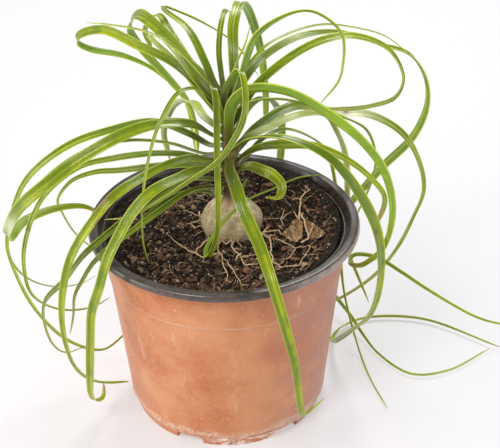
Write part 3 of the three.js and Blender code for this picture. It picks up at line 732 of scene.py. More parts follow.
def run_lengths(points):
    steps = np.linalg.norm(np.diff(points, axis=0), axis=1)
    return np.concatenate([[0], np.cumsum(steps)])


def level_frames(points, directions, start):
    """Sideways and facing directions that follow a curve without twisting about it."""
    sideways = []
    facing = []
    across = start
    for direction in directions:
        across = unit(across - direction * np.dot(across, direction))
        sideways.append(across)
        facing.append(np.cross(direction, across))
    return np.array(sideways), np.array(facing)


def stem_share(height):
    return (height - STEM_FOOT[2]) / (STEM_TIP[2] - STEM_FOOT[2])


def stem_point(height):
    return lerp(STEM_FOOT, STEM_TIP, stem_share(height))


def stem_radius(height):
    return lerp(STEM_FOOT_RADIUS, STEM_TIP_RADIUS, stem_share(height))


# Pot
def wall_radius(height):
    return lerp(FOOT_TOP_RADIUS, WALL_TOP_RADIUS, (height - FOOT_HEIGHT) / (WALL_TOP - FOOT_HEIGHT))


def arc(centre_radius, centre_height, size, start, end, steps):
    """Profile points round part of a circle, angles in degrees from outward to up."""
    angles = [math.radians(lerp(start, end, step / steps)) for step in range(steps + 1)]
    return [polar(size, angle, (centre_radius, centre_height)) for angle in angles]


def out_of_round(angle, height):
    """How far the soft wall has been pushed out or in at an angle and a height."""
    rise = smoothstep(height, ROUND_BELOW, POT_HEIGHT)
    front = RIM_PUSH_FRONT * math.cos((angle + math.pi / 2) / 2) ** 8
    right = RIM_PULL_RIGHT * math.cos((angle - 0.2) / 2) ** 8
    sway = 0.25 * math.sin(2 * angle + 0.7) + 0.12 * math.sin(5 * angle + height / 40)
    return (front - right + sway) * rise


def dent(angle, height):
    """The crease below the rim on the left, where the wall has been squeezed."""
    along = math.remainder(angle - DENT_ANGLE, FULL_TURN) / DENT_REACH
    below = DENT_HEIGHT - DENT_SLOPE * along - height
    inward = DENT_DEPTH * smoothstep(below, -0.8, 2.4) * math.exp(-max(below, 0) / 7)
    ridge = 0.3 * DENT_DEPTH * math.exp(-((below + 1.4) / 1.1) ** 2)
    return (ridge - inward) * math.exp(-along ** 2)


def lathe(profile, shape):
    """Points and faces of a closed profile turned about the axis and then shaped."""
    points = []
    faces = []
    count = len(profile)
    for step in range(POT_AROUND):
        angle = step_angle(step, POT_AROUND)
        for radius, height in profile:
            reach = radius + shape(angle, radius, height) if radius > 1 else radius
            points.append((*polar(reach, angle), height))
    for step in range(POT_AROUND):
        here = step * count
        there = (step + 1) % POT_AROUND * count
        for index in range(count):
            ahead = (index + 1) % count
            faces.append((here + index, there + index, there + ahead, here + ahead))
    return points, faces


def outer_wall_profile():
    top = RIM_UNDERSIDE - SKIN_GAP
    below = np.arange(FOOT_HEIGHT + 2, SHOULDER_HEIGHT - 1, 1.6)
    above = np.arange(SHOULDER_HEIGHT + 1.2, top - 0.6, 1.2)
    inside = (top, SHOULDER_HEIGHT, 60, 30, FOOT_HEIGHT + 2)
    shoulder = wall_radius(SHOULDER_HEIGHT) + SHOULDER_STEP
    return [
        (0, 2.2), (FOOT_RADIUS - 5, 2.2), (FOOT_RADIUS - 4, 0.4),
        *arc(FOOT_RADIUS - 3, 0.5, 0.5, 180, 270, 3),
        *arc(FOOT_RADIUS - 0.6, 0.6, 0.6, 270, 360, 3),
        (FOOT_RADIUS + 0.5, 2.6), (FOOT_RADIUS + 1.0, 4.4),
        *arc(FOOT_RADIUS + 0.7, FOOT_HEIGHT - 1.3, 0.6, 0, 60, 3),
        (FOOT_TOP_RADIUS - 1.2, FOOT_HEIGHT - 0.5),
        *arc(FOOT_TOP_RADIUS - 0.5, FOOT_HEIGHT + 0.7, 0.8, -80, 0, 4),
        *[(wall_radius(height), height) for height in below],
        (wall_radius(SHOULDER_HEIGHT - 0.5), SHOULDER_HEIGHT - 0.5),
        *arc(shoulder - 0.35, SHOULDER_HEIGHT + 0.2, 0.35, -60, 0, 3),
        *[(wall_radius(height) + SHOULDER_STEP, height) for height in above],
        (wall_radius(top) + SHOULDER_STEP, top),
        *[(wall_radius(height) - OUTER_SKIN, height) for height in inside],
        (FOOT_RADIUS - 3, POT_FLOOR), (0, POT_FLOOR),
    ]


def notch_cutter():
    """The drainage notches of the foot, and narrow slits, as one cutting solid."""
    work = bmesh.new()
    cuts = [(FOOT_TURN + notch * FULL_TURN / FOOT_NOTCHES, NOTCH_WIDTH) for notch in range(FOOT_NOTCHES)]
    cuts += [(turn, SLIT_WIDTH) for turn in SLIT_TURNS]
    for turn, width in cuts:
        verts = bmesh.ops.create_cube(work, size=1)["verts"]
        bmesh.ops.scale(work, vec=Vector((CUT_DEPTH, width, NOTCH_HEIGHT * 2)) * MM, verts=verts)
        bmesh.ops.translate(work, vec=Vector((FOOT_RADIUS * MM, 0, 0)), verts=verts)
        edges = {edge for vert in verts for edge in vert.link_edges}
        rounding = min(width, 8) * 0.14 * MM
        bevelled = bmesh.ops.bevel(
            work, geom=list(edges), offset=rounding, segments=3, affect="EDGES", profile=0.5,
        )
        whole = {vert for face in bevelled["faces"] for vert in face.verts}
        bmesh.ops.rotate(work, verts=list(whole), cent=Vector(), matrix=Matrix.Rotation(turn, 3, "Z"))
    mesh = bpy.data.meshes.new("notch_cutter")
    work.to_mesh(mesh)
    work.free()
    return add_object("notch_cutter", mesh)


def cut(piece, cutter):
    modifier = piece.modifiers.new("cut", "BOOLEAN")
    modifier.operation = "DIFFERENCE"
    modifier.solver = "EXACT"
    modifier.object = cutter
    apply_modifiers(piece)
    bpy.data.objects.remove(cutter)


def outer_wall():
    def shape(angle, radius, height):
        ripple = 0.08 * noise_round(angle, 3, height / 12)
        wear_and_highlight = 0.35 * noise_round(angle, 14, height / 3)
        low = 1 - smoothstep(height, FOOT_HEIGHT - 1, FOOT_HEIGHT + 4)
        edge = wear_and_highlight * low if radius > FOOT_RADIUS - 2 and height > 0.7 else 0
        return out_of_round(angle, height) + dent(angle, height) + ripple + edge

    wall = make_piece("terracotta_wall", *lathe(outer_wall_profile(), shape), [TERRACOTTA])
    clean(wall, WALL_SHARP_ANGLE)
    cut(wall, notch_cutter())
    clean(wall, WALL_SHARP_ANGLE)
    settle(wall, "terracotta_plastic", "pot_outer_wall")


def inner_wall_profile():
    def skin(height):
        return wall_radius(height) - OUTER_SKIN - SKIN_GAP

    floor = POT_FLOOR + SKIN_GAP
    neck = RIM_UNDERSIDE - SKIN_GAP
    down = (94, 90, SHOULDER_HEIGHT, 60, 30, FOOT_HEIGHT + 4)
    return [
        (0, floor), (FOOT_RADIUS - 3.4, floor), (skin(FOOT_HEIGHT + 2.5), FOOT_HEIGHT + 2.6),
        *[(skin(height), height) for height in (40, SHOULDER_HEIGHT, neck)],
        (skin(neck) + 0.1, RIM_UNDERSIDE), (RIM_RADIUS - 2.5, RIM_UNDERSIDE),
        *arc(RIM_RADIUS - 0.7, RIM_UNDERSIDE + 0.7, 0.7, 270, 360, 4),
        (RIM_RADIUS - 0.1, RIM_BAND_TOP - 1.1),
        *arc(RIM_RADIUS - 1.9, POT_HEIGHT - 1.75, 1.75, 12, 90, 8),
        (RIM_RADIUS - 3.0, POT_HEIGHT - 0.05),
        *arc(LIP_INNER_RADIUS + 0.9, POT_HEIGHT - 0.95, 0.9, 90, 175, 6),
        (skin(RIM_UNDERSIDE) - INNER_SKIN + 0.5, RIM_UNDERSIDE - 1),
        (skin(RIM_UNDERSIDE) - INNER_SKIN, RIM_UNDERSIDE - 3),
        *[(skin(height) - INNER_SKIN, height) for height in down],
        (FOOT_RADIUS - 4.6, floor + INNER_SKIN), (0, floor + INNER_SKIN),
    ]


def inner_wall():
    def shape(angle, radius, height):
        ripple = 0.1 * noise_round(angle, 5, height / 5)
        squeezed = dent(angle, height) if height < RIM_UNDERSIDE - 1 else 0
        return out_of_round(angle, height) + squeezed + ripple

    wall = make_piece("dark_liner_and_rim", *lathe(inner_wall_profile(), shape), [DARK_PLASTIC])
    clean(wall, RIM_SHARP_ANGLE)
    settle(wall, "dark_plastic", "pot_inner_wall_and_rim")


outer_wall()
inner_wall()


# Potting soil
def soil_bank(x, y):
    """The soil banked up against the wall at the back and on the right."""
    side = 0.5 + 0.5 * math.cos(math.atan2(y, x) - BANK_ANGLE)
    return BANK_HEIGHT * side * smoothstep(math.hypot(x, y), BANK_START, BANK_END)


def clods(x, y):
    """Rounded clods with creases between them, in rows that wander."""
    column = x + CLOD_WANDER * math.sin(y / 4.3)
    row = y + CLOD_WANDER * math.sin(x / 5.1 + 1)
    crown = abs(math.sin(math.pi * column / CLOD_SIZE) * math.sin(math.pi * row / CLOD_SIZE))
    share = 0.65 + 0.35 * math.sin(x * 0.21 - y * 0.33)
    return CLOD_HEIGHT * share * math.sqrt(crown)


def soil_height(x, y):
    level = SOIL_TOP + y * SOIL_RISE_BACK - x * SOIL_FALL_RIGHT
    return level + soil_bank(x, y) + clods(x, y) - CLOD_HEIGHT / 3


def soil_crest(x, y):
    """The highest soil about a point, so that what lies there clears every clod."""
    around = [polar(CREST_REACH, step_angle(step, CREST_POINTS), (x, y)) for step in range(CREST_POINTS)]
    return max(soil_height(x, y), *[soil_height(*spot) for spot in around])


def rough_soil(x, y):
    """The clods with finer crumbs on them, and loose soil against the wall on the right."""
    crumbs = noise.fractal(Vector((x / 2.4, y / 2.4, 0.3)), 0.7, 2.1, 4)
    side = max(0, math.cos(math.atan2(y, x) - LOOSE_ANGLE))
    loose = side * smoothstep(math.hypot(x, y), LOOSE_START, SOIL_REACH)
    return soil_height(x, y) + crumbs * CRUMB_HEIGHT + LOOSE_HEIGHT * loose


def soil_bed():
    points = [(0, 0, rough_soil(0, 0))]
    for ring in range(1, SOIL_RINGS + 1):
        for step in range(SOIL_AROUND):
            angle = step_angle(step, SOIL_AROUND)
            radius = SOIL_REACH * ring / SOIL_RINGS
            radius += out_of_round(angle, SOIL_TOP) * (ring / SOIL_RINGS) ** 4
            spot = polar(radius, angle)
            points.append((*spot, rough_soil(*spot)))
    side = wall_radius(SOIL_BOTTOM) - OUTER_SKIN - SKIN_GAP - INNER_SKIN - 0.8
    for step in range(SOIL_AROUND):
        points.append((*polar(side, step_angle(step, SOIL_AROUND)), SOIL_BOTTOM))
    faces = disc_faces(0, 1, SOIL_RINGS + 1, SOIL_AROUND)
    last = 1 + SOIL_RINGS * SOIL_AROUND
    faces.append(tuple(range(last, last + SOIL_AROUND))[::-1])
    settle(make_piece("soil_bed", points, faces, [SOIL]), "potting_soil", "soil")


def ball(subdivisions):
    """Points and triangles of a unit ball."""
    work = bmesh.new()
    bmesh.ops.create_icosphere(work, subdivisions=subdivisions, radius=1)
    points = np.array([vert.co[:] for vert in work.verts])
    faces = np.array([[vert.index for vert in face.verts] for face in work.faces])
    work.free()
    return points, faces


def rotations(rng, count):
    """Random rotation matrices."""
    quaternions = rng.normal(size=(count, 4))
    quaternions /= np.linalg.norm(quaternions, axis=1, keepdims=True)
    w, x, y, z = quaternions.T
    rows = [
        [1 - 2 * (y * y + z * z), 2 * (x * y - z * w), 2 * (x * z + y * w)],
        [2 * (x * y + z * w), 1 - 2 * (x * x + z * z), 2 * (y * z - x * w)],
        [2 * (x * z - y * w), 2 * (y * z + x * w), 1 - 2 * (x * x + y * y)],
    ]
    return np.array(rows).transpose(2, 0, 1)


def scatter(name, material, seed, count, sizes, flatness, detail, lift, cuts):
    """Broken grains strewn over the soil, as one piece, each with a tint of its own."""
    rng = np.random.default_rng(seed)
    template, triangles = ball(detail)
    smallest, largest = sizes
    radius = (SOIL_RADIUS - 1.0 - largest * 0.55) * np.sqrt(rng.uniform(0, 1, count))
    angle = rng.uniform(0, FULL_TURN, count)
    widths = smallest + (largest - smallest) * rng.uniform(0, 1, count) ** 2.4
    shapes = rng.uniform(0.6, 1.15, (count, 3))
    turned = rotations(rng, count)
    points = []
    for index in range(count):
        x, y = polar(radius[index], angle[index])
        grain = template * (1 + 0.09 * rng.normal(size=(len(template), 1)))
        for _ in range(cuts):
            normal = unit(rng.normal(size=3))
            over = np.clip(grain @ normal - rng.uniform(0.3, 0.75), 0, None)
            grain = grain - over[:, None] * normal
        grain = (grain * shapes[index] * widths[index] / 2) @ turned[index].T
        grain[:, 2] *= flatness
        points.append(grain + (x, y, rough_soil(x, y) + widths[index] * lift))
    faces = np.concatenate([triangles + index * len(template) for index in range(count)])
    tint = {"tint": np.repeat(rng.uniform(0, 1, count), len(template))}
    piece = make_piece(name, np.concatenate(points), faces.tolist(), [material], None, tint, False)
    settle(piece, "potting_soil")


soil_bed()
scatter("soil_crumbs_fine", CRUMB_DARK, 11, 8600, (0.4, 1.9), 0.8, 1, 0.2, 1)
scatter("soil_crumbs_coarse", CRUMB_DARK, 12, 1000, (1.3, 4.8), 0.75, 2, 0.1, 6)
scatter("soil_crumbs_brown", CRUMB_BROWN, 13, 420, (1.0, 4.2), 0.7, 2, 0.14, 6)
scatter("bark_chips", BARK_CHIP, 14, 48, (2.2, 6.0), 0.6, 2, 0.16, 6)
scatter("perlite_grains", PERLITE, 15, 240, (0.5, 1.8), 0.8, 1, 0.45, 2)


# Strands: roots, fibres, the stem and the shoot
def strand(route, radii, sides, spacing, knobble, rng):
    """Points and faces of a tapering, slightly knobbly strand along a route."""
    centres, directions = curve_through(route, spacing)
    start = unit(np.cross(directions[0], (0.31, 0.17, 0.93)))
    sideways, facing = level_frames(centres, directions, start)
    runs = run_lengths(centres)
    points = []
    swell = rng.uniform(0, 40)
    for centre, across, up, run in zip(centres, sideways, facing, runs):
        share = run / runs[-1]
        radius = lerp(radii[0], radii[1], share)
        radius *= math.sqrt(min(1, max(0.03, (1 - share) * 8)))
        for side in range(sides):
            angle = step_angle(side, sides)
            bumpy = noise.noise(Vector((run / 2.6 + swell, math.cos(angle), math.sin(angle))))
            reach = radius * (1 + knobble * bumpy)
            ring = across * math.cos(angle) + up * math.sin(angle)
            points.append(centre + ring * reach)
    return points, tube_faces(len(centres), sides)


# Caudex and stem
def caudex():
    stations = [(radius, 0, height) for radius, height in CAUDEX_PROFILE]
    profile, _ = curve_through(stations, CAUDEX_SPACING)
    points = []
    for radius, _, height in profile:
        for step in range(CAUDEX_AROUND):
            angle = step_angle(step, CAUDEX_AROUND)
            spot = Vector((*polar(radius, angle), height))
            lumps = noise.noise(spot / 9) * 0.9
            wrinkles = noise.fractal(Vector((spot.x / 2.4, spot.y / 2.4, spot.z / 1.1)), 0.8, 2.2, 4) * 0.22
            ribs = math.sin(angle * 9 + height * 0.25) * 0.14
            reach = radius + (lumps + wrinkles + ribs) * min(1, radius / 6)
            points.append((*polar(reach, angle, CAUDEX_CENTRE), height))
    piece = make_piece("caudex", points, tube_faces(len(profile), CAUDEX_AROUND), [CAUDEX])
    settle(piece, "caudex_bark", "caudex_and_stem")


def stem():
    rng = random.Random(STEM_SEED)
    middle = [lerp(STEM_FOOT, STEM_TIP, share) for share in (0.33, 0.66)]
    route = [STEM_FOOT - (0, 0, 1.5), *middle, STEM_TIP]
    core = strand(route, (STEM_FOOT_RADIUS, STEM_TIP_RADIUS), 28, 0.6, 0.05, rng)
    settle(make_piece("stem", *core, [STEM]), "stem_skin", "caudex_and_stem")


def leaf_sheaths():
    """The ribbed column of clasping leaf bases round the stem."""
    points = []
    for row in range(SHEATHS_ROWS + 1):
        share = row / SHEATHS_ROWS
        height = lerp(SHEATHS_LOW, SHEATHS_HIGH, share)
        narrowing = max(0, (NECK_TOP - height) / (NECK_TOP - SHEATHS_LOW))
        body = lerp(lerp(SHEATHS_RADIUS_LOW, SHEATHS_RADIUS_HIGH, share), NECK_RADIUS, narrowing ** 2)
        axis = lerp(stem_point(height), np.array([*CAUDEX_CENTRE, height]), narrowing)
        for step in range(SHEATHS_AROUND):
            angle = step_angle(step, SHEATHS_AROUND)
            ribs = 0.16 * math.cos(angle * 9 + height * 0.06) + 0.07 * math.cos(angle * 23)
            folds = 0.3 * noise_round(angle, 1.6, height / 9)
            points.append((*polar(body + ribs + folds, angle, axis), height))
    faces = tube_faces(SHEATHS_ROWS + 1, SHEATHS_AROUND)
    settle(make_piece("leaf_sheaths", points, faces, [SHEATHS]), "stem_skin")


def leaf_scar(index, rng):
    """One torn leaf base, a thin sheet bent round the stem."""
    height = lerp(SCAR_LOW, SCAR_HIGH, index / (SCAR_COUNT - 1))
    axis = stem_point(height)
    radius = stem_radius(height) + 0.25
    rise = rng.uniform(1.6, 3.4)
    half_angle = rng.uniform(0.7, 1.3)
    top = SCAR_ROWS - 1
    points = []
    for row in range(SCAR_ROWS):
        level = height - 1 + (rise + 1) * row / top
        flare = 0.25 * row + (0.5 if row == top else 0)
        for column in range(SCAR_COLUMNS + 1):
            side = column / SCAR_COLUMNS * 2 - 1
            torn = rng.uniform(-0.6, 0.3) if row == top else 0
            angle = index * SCAR_TURN + side * half_angle * (1 - 0.2 * row / top)
            points.append((*polar(radius + flare * 0.4, angle, axis), level + torn - 0.7 * side * side))
    faces = []
    for row in range(top):
        for column in range(SCAR_COLUMNS):
            a = row * (SCAR_COLUMNS + 1) + column
            faces.append((a, a + 1, a + SCAR_COLUMNS + 2, a + SCAR_COLUMNS + 1))
    return points, faces


def leaf_scars():
    """Torn brown bases of old leaves that ring the foot of the stem."""
    rng = random.Random(SCARS_SEED)
    scars = [leaf_scar(index, rng) for index in range(SCAR_COUNT)]
    piece = make_piece("old_leaf_bases", *joined(scars), [DRY_SCALE])
    thicken(piece, SCAR_THICKNESS)
    settle(piece, "stem_skin")


caudex()
stem()
leaf_sheaths()
leaf_scars()


# Bare roots: their radii in the solids, and their routes over the soil
ROOTS = {
    "roots_left": [
        ((0.9, 0.4), [(-7.5, -7.3), (-10, -12), (-14, -20), (-18, -17.5), (-22, -13), (-28, -5)]),
        ((0.7, 0.4), [(-14, -20), (-11, -23), (-6, -22.5)]),
    ],
    "roots_front": [
        ((0.9, 0.4), [(-3, -10), (-3.5, -16), (-1.5, -25), (0.4, -35), (0.2, -46)]),
        ((0.6, 0.4), [(-1.5, -25), (1.1, -28), (3.7, -35), (6.8, -46)]),
    ],
    "roots_front_right": [
        ((0.9, 0.4), [(3.4, -11), (3.6, -17), (7.3, -25), (9.2, -29.6), (15, -30.2)]),
        ((0.7, 0.4), [(7.3, -25), (12, -22.5), (16, -21.5)]),
    ],
    "roots_right": [
        ((0.9, 0.4), [(17.5, -3.5), (19, -6.7), (26.4, -11.5), (33, -17.5), (39, -16.5)]),
        ((0.9, 0.4), [
            (21, -8), (21.5, -18), (21.5, -29), (25.3, -32.7), (33.4, -33), (37.4, -24), (40, -17),
            (43.5, -14.5),
        ]),
        ((0.7, 0.4), [(33, -17.5), (29, -26), (24, -31)]),
    ],
}
# Finer roots with heights of their own: radii and route
FINE_ROOTS = [
    ((0.4, 0.2), [(7.5, -24.2, 97.2), (6, -25.7, 97.4), (4.3, -29.6, 96.8)]),
    ((0.35, 0.2), [(-5.8, -23.6, 96.6), (-3.6, -22.9, 96.9), (-1.8, -24.6, 96.6)]),
    ((0.4, 0.2), [(17.6, -7.5, 97.8), (22.1, -6.9, 98.2), (25.7, -7.1, 98.4), (27.2, -10.5, 98)]),
    ((0.35, 0.2), [(18.2, -7.5, 97.8), (20.1, -4.7, 98.6), (21.6, -2.6, 98.4)]),
    ((0.3, 0.15), [(26, -2.4, 98), (26.6, -3.7, 98.6), (27.6, -6.3, 98.2)]),
    ((0.35, 0.15), [(27.9, -0.7, 97), (27.1, 2.2, 99.5), (29.2, 6.8, 102)]),
    ((0.3, 0.12), [(27.8, 2.1, 99), (29.5, 4.7, 99.5), (32.5, 7.3, 100)]),
    ((0.5, 0.4), [(35.4, -5, 101.4), (36.1, 2.3, 103), (36.8, 6.8, 104), (36.8, 10.5, 105)]),
    ((0.4, 0.2), [(36.8, 10.5, 105), (34.9, 10.6, 105.5), (32.6, 10.4, 104.5)]),
    ((0.4, 0.15), [(36.7, 9.6, 105), (37.8, 12.3, 105.5), (39.9, 15, 106), (42.6, 17.7, 106.5)]),
    ((0.25, 0.12), [(39.4, 14.6, 106), (38.8, 16.5, 106.5), (37.9, 17.1, 107)]),
    ((0.25, 0.12), [(41.3, 16.3, 106.3), (40.8, 18.8, 107), (39.7, 19.4, 107.5)]),
    ((0.35, 0.15), [(35.2, -1.1, 101.8), (34.2, 1.6, 101.2), (33.6, 6.5, 101)]),
    ((0.3, 0.12), [(36.6, -2, 102), (38.1, 2, 102.6)]),
    ((0.45, 0.3), [
        (35.7, -16.2, 97.2), (39.3, -15.4, 99), (38.8, -12.7, 101), (37.6, -6, 104), (36, -3, 105),
    ]),
    ((0.35, 0.2), [(39.3, -15.5, 98.5), (40.7, -11.2, 101), (41.8, -8.5, 102.4)]),
    ((0.5, 0.25), [(-3.5, -14.1, 96), (-1.7, -12.3, 96.8), (0.6, -11, 98)]),
    ((0.4, 0.2), [(-1.2, -12.4, 96.5), (0.5, -15.6, 97), (3.3, -13.2, 98)]),
    ((0.4, 0.2), [(-15.8, 2.8, 96.5), (-14.4, -0.8, 97), (-11.7, 0.5, 97.5)]),
    ((0.4, 0.2), [(-12.4, 13.2, 97.5), (-12.1, 9, 98), (-12.1, 5.7, 96.5)]),
]


def wander(route, amount, rng):
    """The route with small sideways wanders between its stations."""
    route = [np.asarray(station, float) for station in route]
    winding = [route[0]]
    for before, after in zip(route[:-1], route[1:]):
        for share in (0.33, 0.67):
            jitter = np.array([rng.uniform(-1, 1), rng.uniform(-1, 1), rng.uniform(-0.5, 0.5)])
            winding.append(lerp(before, after, share) + jitter * amount)
        winding.append(after)
    return winding


def rootlets(route, rng):
    """Fine side roots that leave a root and run down to the soil."""
    made = []
    for x, y, z in route[1:]:
        for _ in range(rng.choice((0, 1, 1, 2))):
            heading = rng.uniform(0, FULL_TURN)
            length = rng.uniform(2, 6)
            path = [(x, y, z)]
            for share in (0.25, 0.5, 0.75, 1):
                heading += rng.uniform(-0.6, 0.6)
                spot = polar(length * share, heading, (x, y))
                path.append((*spot, lerp(z, soil_height(*spot) + ROOTLET_LIFT, share)))
            made.append(strand(path, (rng.uniform(0.18, 0.3), 0.1), 5, 0.8, 0.3, rng))
    return made


def root_piece(name, strands):
    rng = random.Random(name)
    parts = []
    for radii, route in strands:
        lift = radii[0] + ROOT_CLEARANCE
        slim = (radii[0] * ROOT_SLIMNESS, radii[1] * ROOT_SLIMNESS)
        lifted = [(x, y, soil_crest(x, y) + lift) for x, y in route]
        parts.append(strand(wander(lifted, 0.6, rng), slim, 9, 0.6, 0.4, rng))
        parts.extend(rootlets(lifted, rng))
    settle(make_piece(f"{name}_bare", *joined(parts), [ROOT]), "root_skin", name)


def fine_roots():
    rng = random.Random(FINE_ROOTS_SEED)
    parts = [strand(wander(route, 0.3, rng), radii, 7, 0.6, 0.35, rng) for radii, route in FINE_ROOTS]
    settle(make_piece("fine_roots", *joined(parts), [ROOT]), "root_skin")


def caudex_roots():
    """Short roots that spring from the caudex all round and run down into the soil."""
    rng = random.Random(CAUDEX_ROOTS_SEED)
    parts = []
    for index in range(CAUDEX_ROOTS):
        height = rng.uniform(94.5, 97.5)
        reach = rng.uniform(17, 24)
        out = np.array(polar(1, index * CAUDEX_ROOT_TURN))
        foot = CAUDEX_CENTRE + out * CAUDEX_GIRTH
        end = CAUDEX_CENTRE + out * reach + (rng.uniform(-4, 4), rng.uniform(-4, 4))
        middle = lerp(foot, end, 0.5) + (rng.uniform(-1.5, 1.5), rng.uniform(-1.5, 1.5))
        path = [
            (*foot, height),
            (*middle, soil_crest(*middle) + 0.8),
            (*end, soil_height(*end) + 0.4),
        ]
        parts.append(strand(wander(path, 0.4, rng), (rng.uniform(0.22, 0.45), 0.12), 6, 0.7, 0.35, rng))
    settle(make_piece("caudex_rootlets", *joined(parts), [ROOT]), "root_skin")


def soil_fibres():
    """Hair-thin fibres that lie about on the soil."""
    rng = random.Random(FIBRES_SEED)
    parts = []
    for _ in range(FIBRE_COUNT):
        radius = FIBRE_REACH * math.sqrt(rng.random())
        x, y = polar(radius, rng.uniform(0, FULL_TURN))
        heading = rng.uniform(0, FULL_TURN)
        path = []
        for step in range(4):
            path.append((x, y, rough_soil(x, y) + 0.8 + 0.4 * math.sin(step)))
            heading += rng.uniform(-0.9, 0.9)
            x, y = polar(FIBRE_STEP, heading, (x, y))
            if math.hypot(x, y) > FIBRE_LIMIT:
                break
        if len(path) > 2:
            parts.append(strand(path, (0.12, 0.08), 4, 1.0, 0.2, rng))
    settle(make_piece("soil_fibres", *joined(parts), [ROOT]), "potting_soil")


for root_name, root_strands in ROOTS.items():
    root_piece(root_name, root_strands)
fine_roots()
caudex_roots()
soil_fibres()


# Dry papery scales: the outline of each, seen from above
SCALES = {
    "dry_scale_left": [
        (33.2, -15.5), (36.6, -12.2), (36.8, -5), (34.7, -2.7), (32.2, -4.1), (30.2, -7.4), (26.8, -10.4),
        (29.1, -13.1),
    ],
    "dry_scale_right": [(39.5, -13.5), (44, -13.5), (47.6, -11), (43.3, -6.7), (38.2, -3.1), (38, -8.8)],
}


def dry_scale(name, outline):
    """A cupped, crumpled and veined sheet that fills the outline along the scale's slope."""
    centre = np.mean(outline, axis=0)
    corners = [np.array(corner) for corner in outline]
    border = []
    for before, after in zip(corners, corners[1:] + corners[:1]):
        border.extend(lerp(before, after, step / SCALE_EDGE_STEPS) for step in range(SCALE_EDGE_STEPS))
    picks = [border[column * len(border) // SCALE_COLUMNS] for column in range(SCALE_COLUMNS)]
    slope = np.array([0, math.cos(SCALE_LEAN), math.sin(SCALE_LEAN)])
    facing = np.array([0, -math.sin(SCALE_LEAN), math.cos(SCALE_LEAN)])
    hinge = np.array([0, SCALE_HINGE, SCALE_FOOT])
    points = []
    ribs = []

    def add(x, y, share):
        """A point of the sheet, with the strength there of the ribs that fork from its foot."""
        turn = math.atan2(x - centre[0], y - centre[1] + 9)
        rib = abs(math.cos(turn * SCALE_VEINS)) ** 8
        crumple = noise.fractal(Vector((x / 2.6, y / 2.6, 7.7)), 0.8, 2.0, 4) * 0.9
        raised = 0.7 + crumple + (2.2 * share ** 2 - 0.9) + 0.35 * rib
        points.append(hinge + np.array([x, 0, 0]) + slope * (y - SCALE_HINGE) + facing * raised)
        ribs.append(rib)

    for row in range(1, SCALE_ROWS + 1):
        share = row / SCALE_ROWS
        for pick in picks:
            ragged = 1 + 0.1 * noise.noise(Vector((*(pick / 1.1), 3.3))) * share
            add(*(centre + (pick - centre) * share * ragged), share)
    add(*centre, 0)
    faces = disc_faces(len(points) - 1, 0, SCALE_ROWS, SCALE_COLUMNS)
    piece = make_piece(f"{name}_papery", points, faces, [DRY_SCALE], None, {"rib": ribs})
    thicken(piece, SCALE_THICKNESS)
    settle(piece, "dry_scale", name)


for scale_name, scale_outline in SCALES.items():
    dry_scale(scale_name, scale_outline)


# Side shoot
def side_shoot():
    stalk = strand(SHOOT_ROUTE, SHOOT_RADII, 14, 0.5, 0.12, random.Random(SHOOT_SEED))
    settle(make_piece("side_shoot_stalk", *stalk, [SHOOT]), "stem_skin", "side_shoot")


side_shoot()


